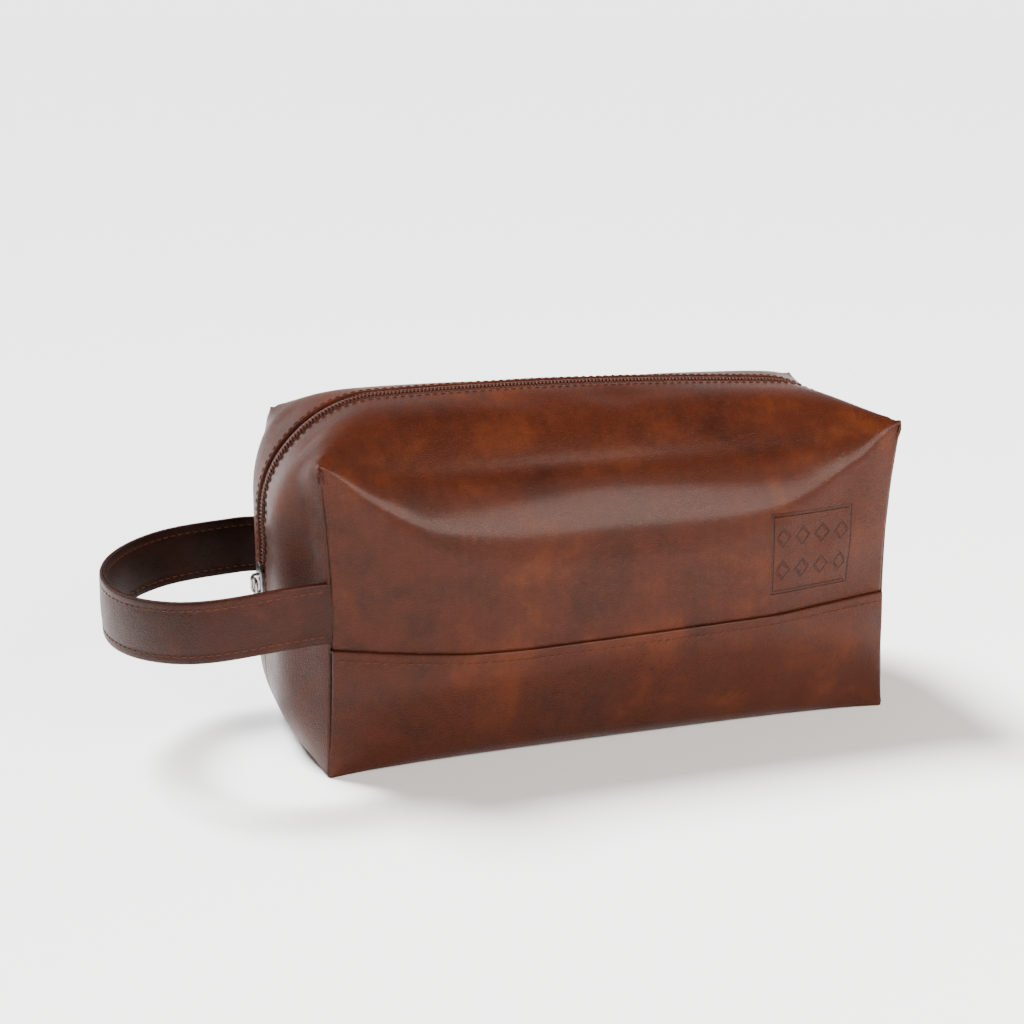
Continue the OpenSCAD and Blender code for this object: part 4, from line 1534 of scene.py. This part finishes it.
def makePocket():
    low, high = corners("slip_pocket")
    cols = nx / 2 + np.linspace(low[0], high[0], 60) / cellX
    ks = np.linspace(low[2], high[2], 26) * nz / cornerZ
    rows = wallRow(1, ks)
    points = sample(crossGrid, rows[:, None], cols[None, :])
    normal = normalAt(crossGrid, rows[:, None] + 0 * cols[None, :], cols[None, :] + 0 * rows[:, None])
    share = np.linspace(0, 1, len(ks))[:, None]
    full = 1 - np.abs(np.linspace(-1, 1, len(cols))) ** 4
    belly = inside["pocketBelly"] * np.sin(math.pi * 0.5 * share) * full[None, :]
    outer = points - normal * (inside["pocketDepth"] + belly)[..., None]
    back = outer - normal * inside["pocketThickness"]
    rise = np.array([0, 0, 0.0006])
    hem = [outer[-1] + rise - normal[-1] * 0.0004, back[-1] + rise + normal[-1] * 0.0002]
    grid = np.concatenate([outer, hem, back[::-1]])
    uv = flatMap(np.linspace(0, 0.15, len(cols)), np.linspace(0, 0.13, len(grid)))
    points, faces, uvs, _ = weldGrids([[grid, uv, np.zeros(grid.shape[:2])]])
    piece = makePiece("slipPocket", points, faces, darkHide, "dark_leather", body="bag", uvs=uvs)
    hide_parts("slip_pocket")
    row = stitchRow(back[-4][1:-1], -normal[-4][1:-1])
    makePiece("pocketStitches", *row, threadFibre, "thread", body="bag")


for end, name in ((-1, "left"), (1, "right")):
    makeBindings(end, name)
    makeSeamShadeStrips(end, name)
makePocket()
for node, material in (("base_lining", nodeLining), ("base_board", boardPulp)):
    for materialSlot in bpy.data.objects[node].material_slots:
        materialSlot.material = material
print("inside made")

# studio: a pale floor, a sky bright near the floor and dark above, a soft overhead light and two panels
studio = {
    "floorReach": 40,
    "floor": (0.9, 0.9, 0.895, 1),
    "floorGlow": 0.03,
    "sky": ((0.0, 2.9), (0.03, 2.7), (0.12, 1.3), (0.3, 0.75), (1.0, 0.2)),
    "backdrop": 3.38,
    "skyBack": (0.0, 0.75),
    "skyFront": 0.18,
    "sun": {"from": (-0.30, 0.46, 0.83), "angle": 20, "strength": 14.2},
    "lamps": (("frontPanel", (0.45, -1.25, 0.72), 0.7, 44.0), ("leftPanel", (-1.3, -0.5, 0.6), 0.5, 1.0)),
    "warmth": (1.0, 0.9, 0.84),
    "aim": (0, 0, 0.07),
}


def makeSky():
    world = bpy.data.worlds.new("world")
    bpy.context.scene.world = world
    world.use_nodes = True
    tree = world.node_tree
    parts = splitXyz(tree, addNode(tree, "ShaderNodeTexCoord").outputs["Generated"])
    ramp = addNode(tree, "ShaderNodeValToRGB", {0: parts[2]})
    # bright behind the bag, darker to the left and in front
    turnTo = spread(tree, parts[1], studio["skyBack"][0], studio["skyBack"][1], studio["skyFront"], 1.0)
    elements = ramp.color_ramp.elements
    while len(elements) < len(studio["sky"]):
        elements.new(0.5)
    top = max(level for _, level in studio["sky"])
    for element, (position, level) in zip(elements, studio["sky"]):
        element.position = position
        element.color = (level / top, level / top, level / top, 1)
    background = tree.nodes["Background"]
    seen = addNode(tree, "ShaderNodeLightPath").outputs["Is Camera Ray"]
    tree.links.new(mixColor(tree, seen, ramp.outputs[0], (1, 1, 1, 1)), background.inputs["Color"])
    level = maths(tree, "MULTIPLY", turnTo, top)
    shown = maths(tree, "MULTIPLY", seen, maths(tree, "SUBTRACT", studio["backdrop"], level))
    tree.links.new(maths(tree, "ADD", level, shown), background.inputs["Strength"])


def makeStudio():
    plane = bpy.data.meshes.new("floor")
    far = studio["floorReach"]
    plane.from_pydata([(-far, -far, 0), (far, -far, 0), (far, far, 0), (-far, far, 0)], [], [(0, 1, 2, 3)])
    floor = putInScene(bpy.data.objects.new("floor", plane))
    paint, _, shader = newMaterial("floorPaint", Roughness=0.9, Emission_Strength=studio["floorGlow"])
    shader.inputs["Base Color"].default_value = studio["floor"]
    shader.inputs["Emission Color"].default_value = (1, 1, 1, 1)
    plane.materials.append(paint)
    makeSky()
    sun = bpy.data.lights.new("overhead", "SUN")
    sun.angle = math.radians(studio["sun"]["angle"])
    sun.energy = studio["sun"]["strength"]
    lamp = putInScene(bpy.data.objects.new("overhead", sun))
    lamp.rotation_euler = (-Vector(studio["sun"]["from"])).to_track_quat("-Z", "Y").to_euler()
    lamp.visible_glossy = False
    for name, place, size, power in studio["lamps"]:
        data = bpy.data.lights.new(name, "AREA")
        data.size = size
        data.energy = power
        data.color = studio["warmth"]
        lamp = putInScene(bpy.data.objects.new(name, data))
        lamp.rotation_euler = (Vector(studio["aim"]) - Vector(place)).to_track_quat("-Z", "Y").to_euler()
        lamp.location = place


makeStudio()
print("studio ready")
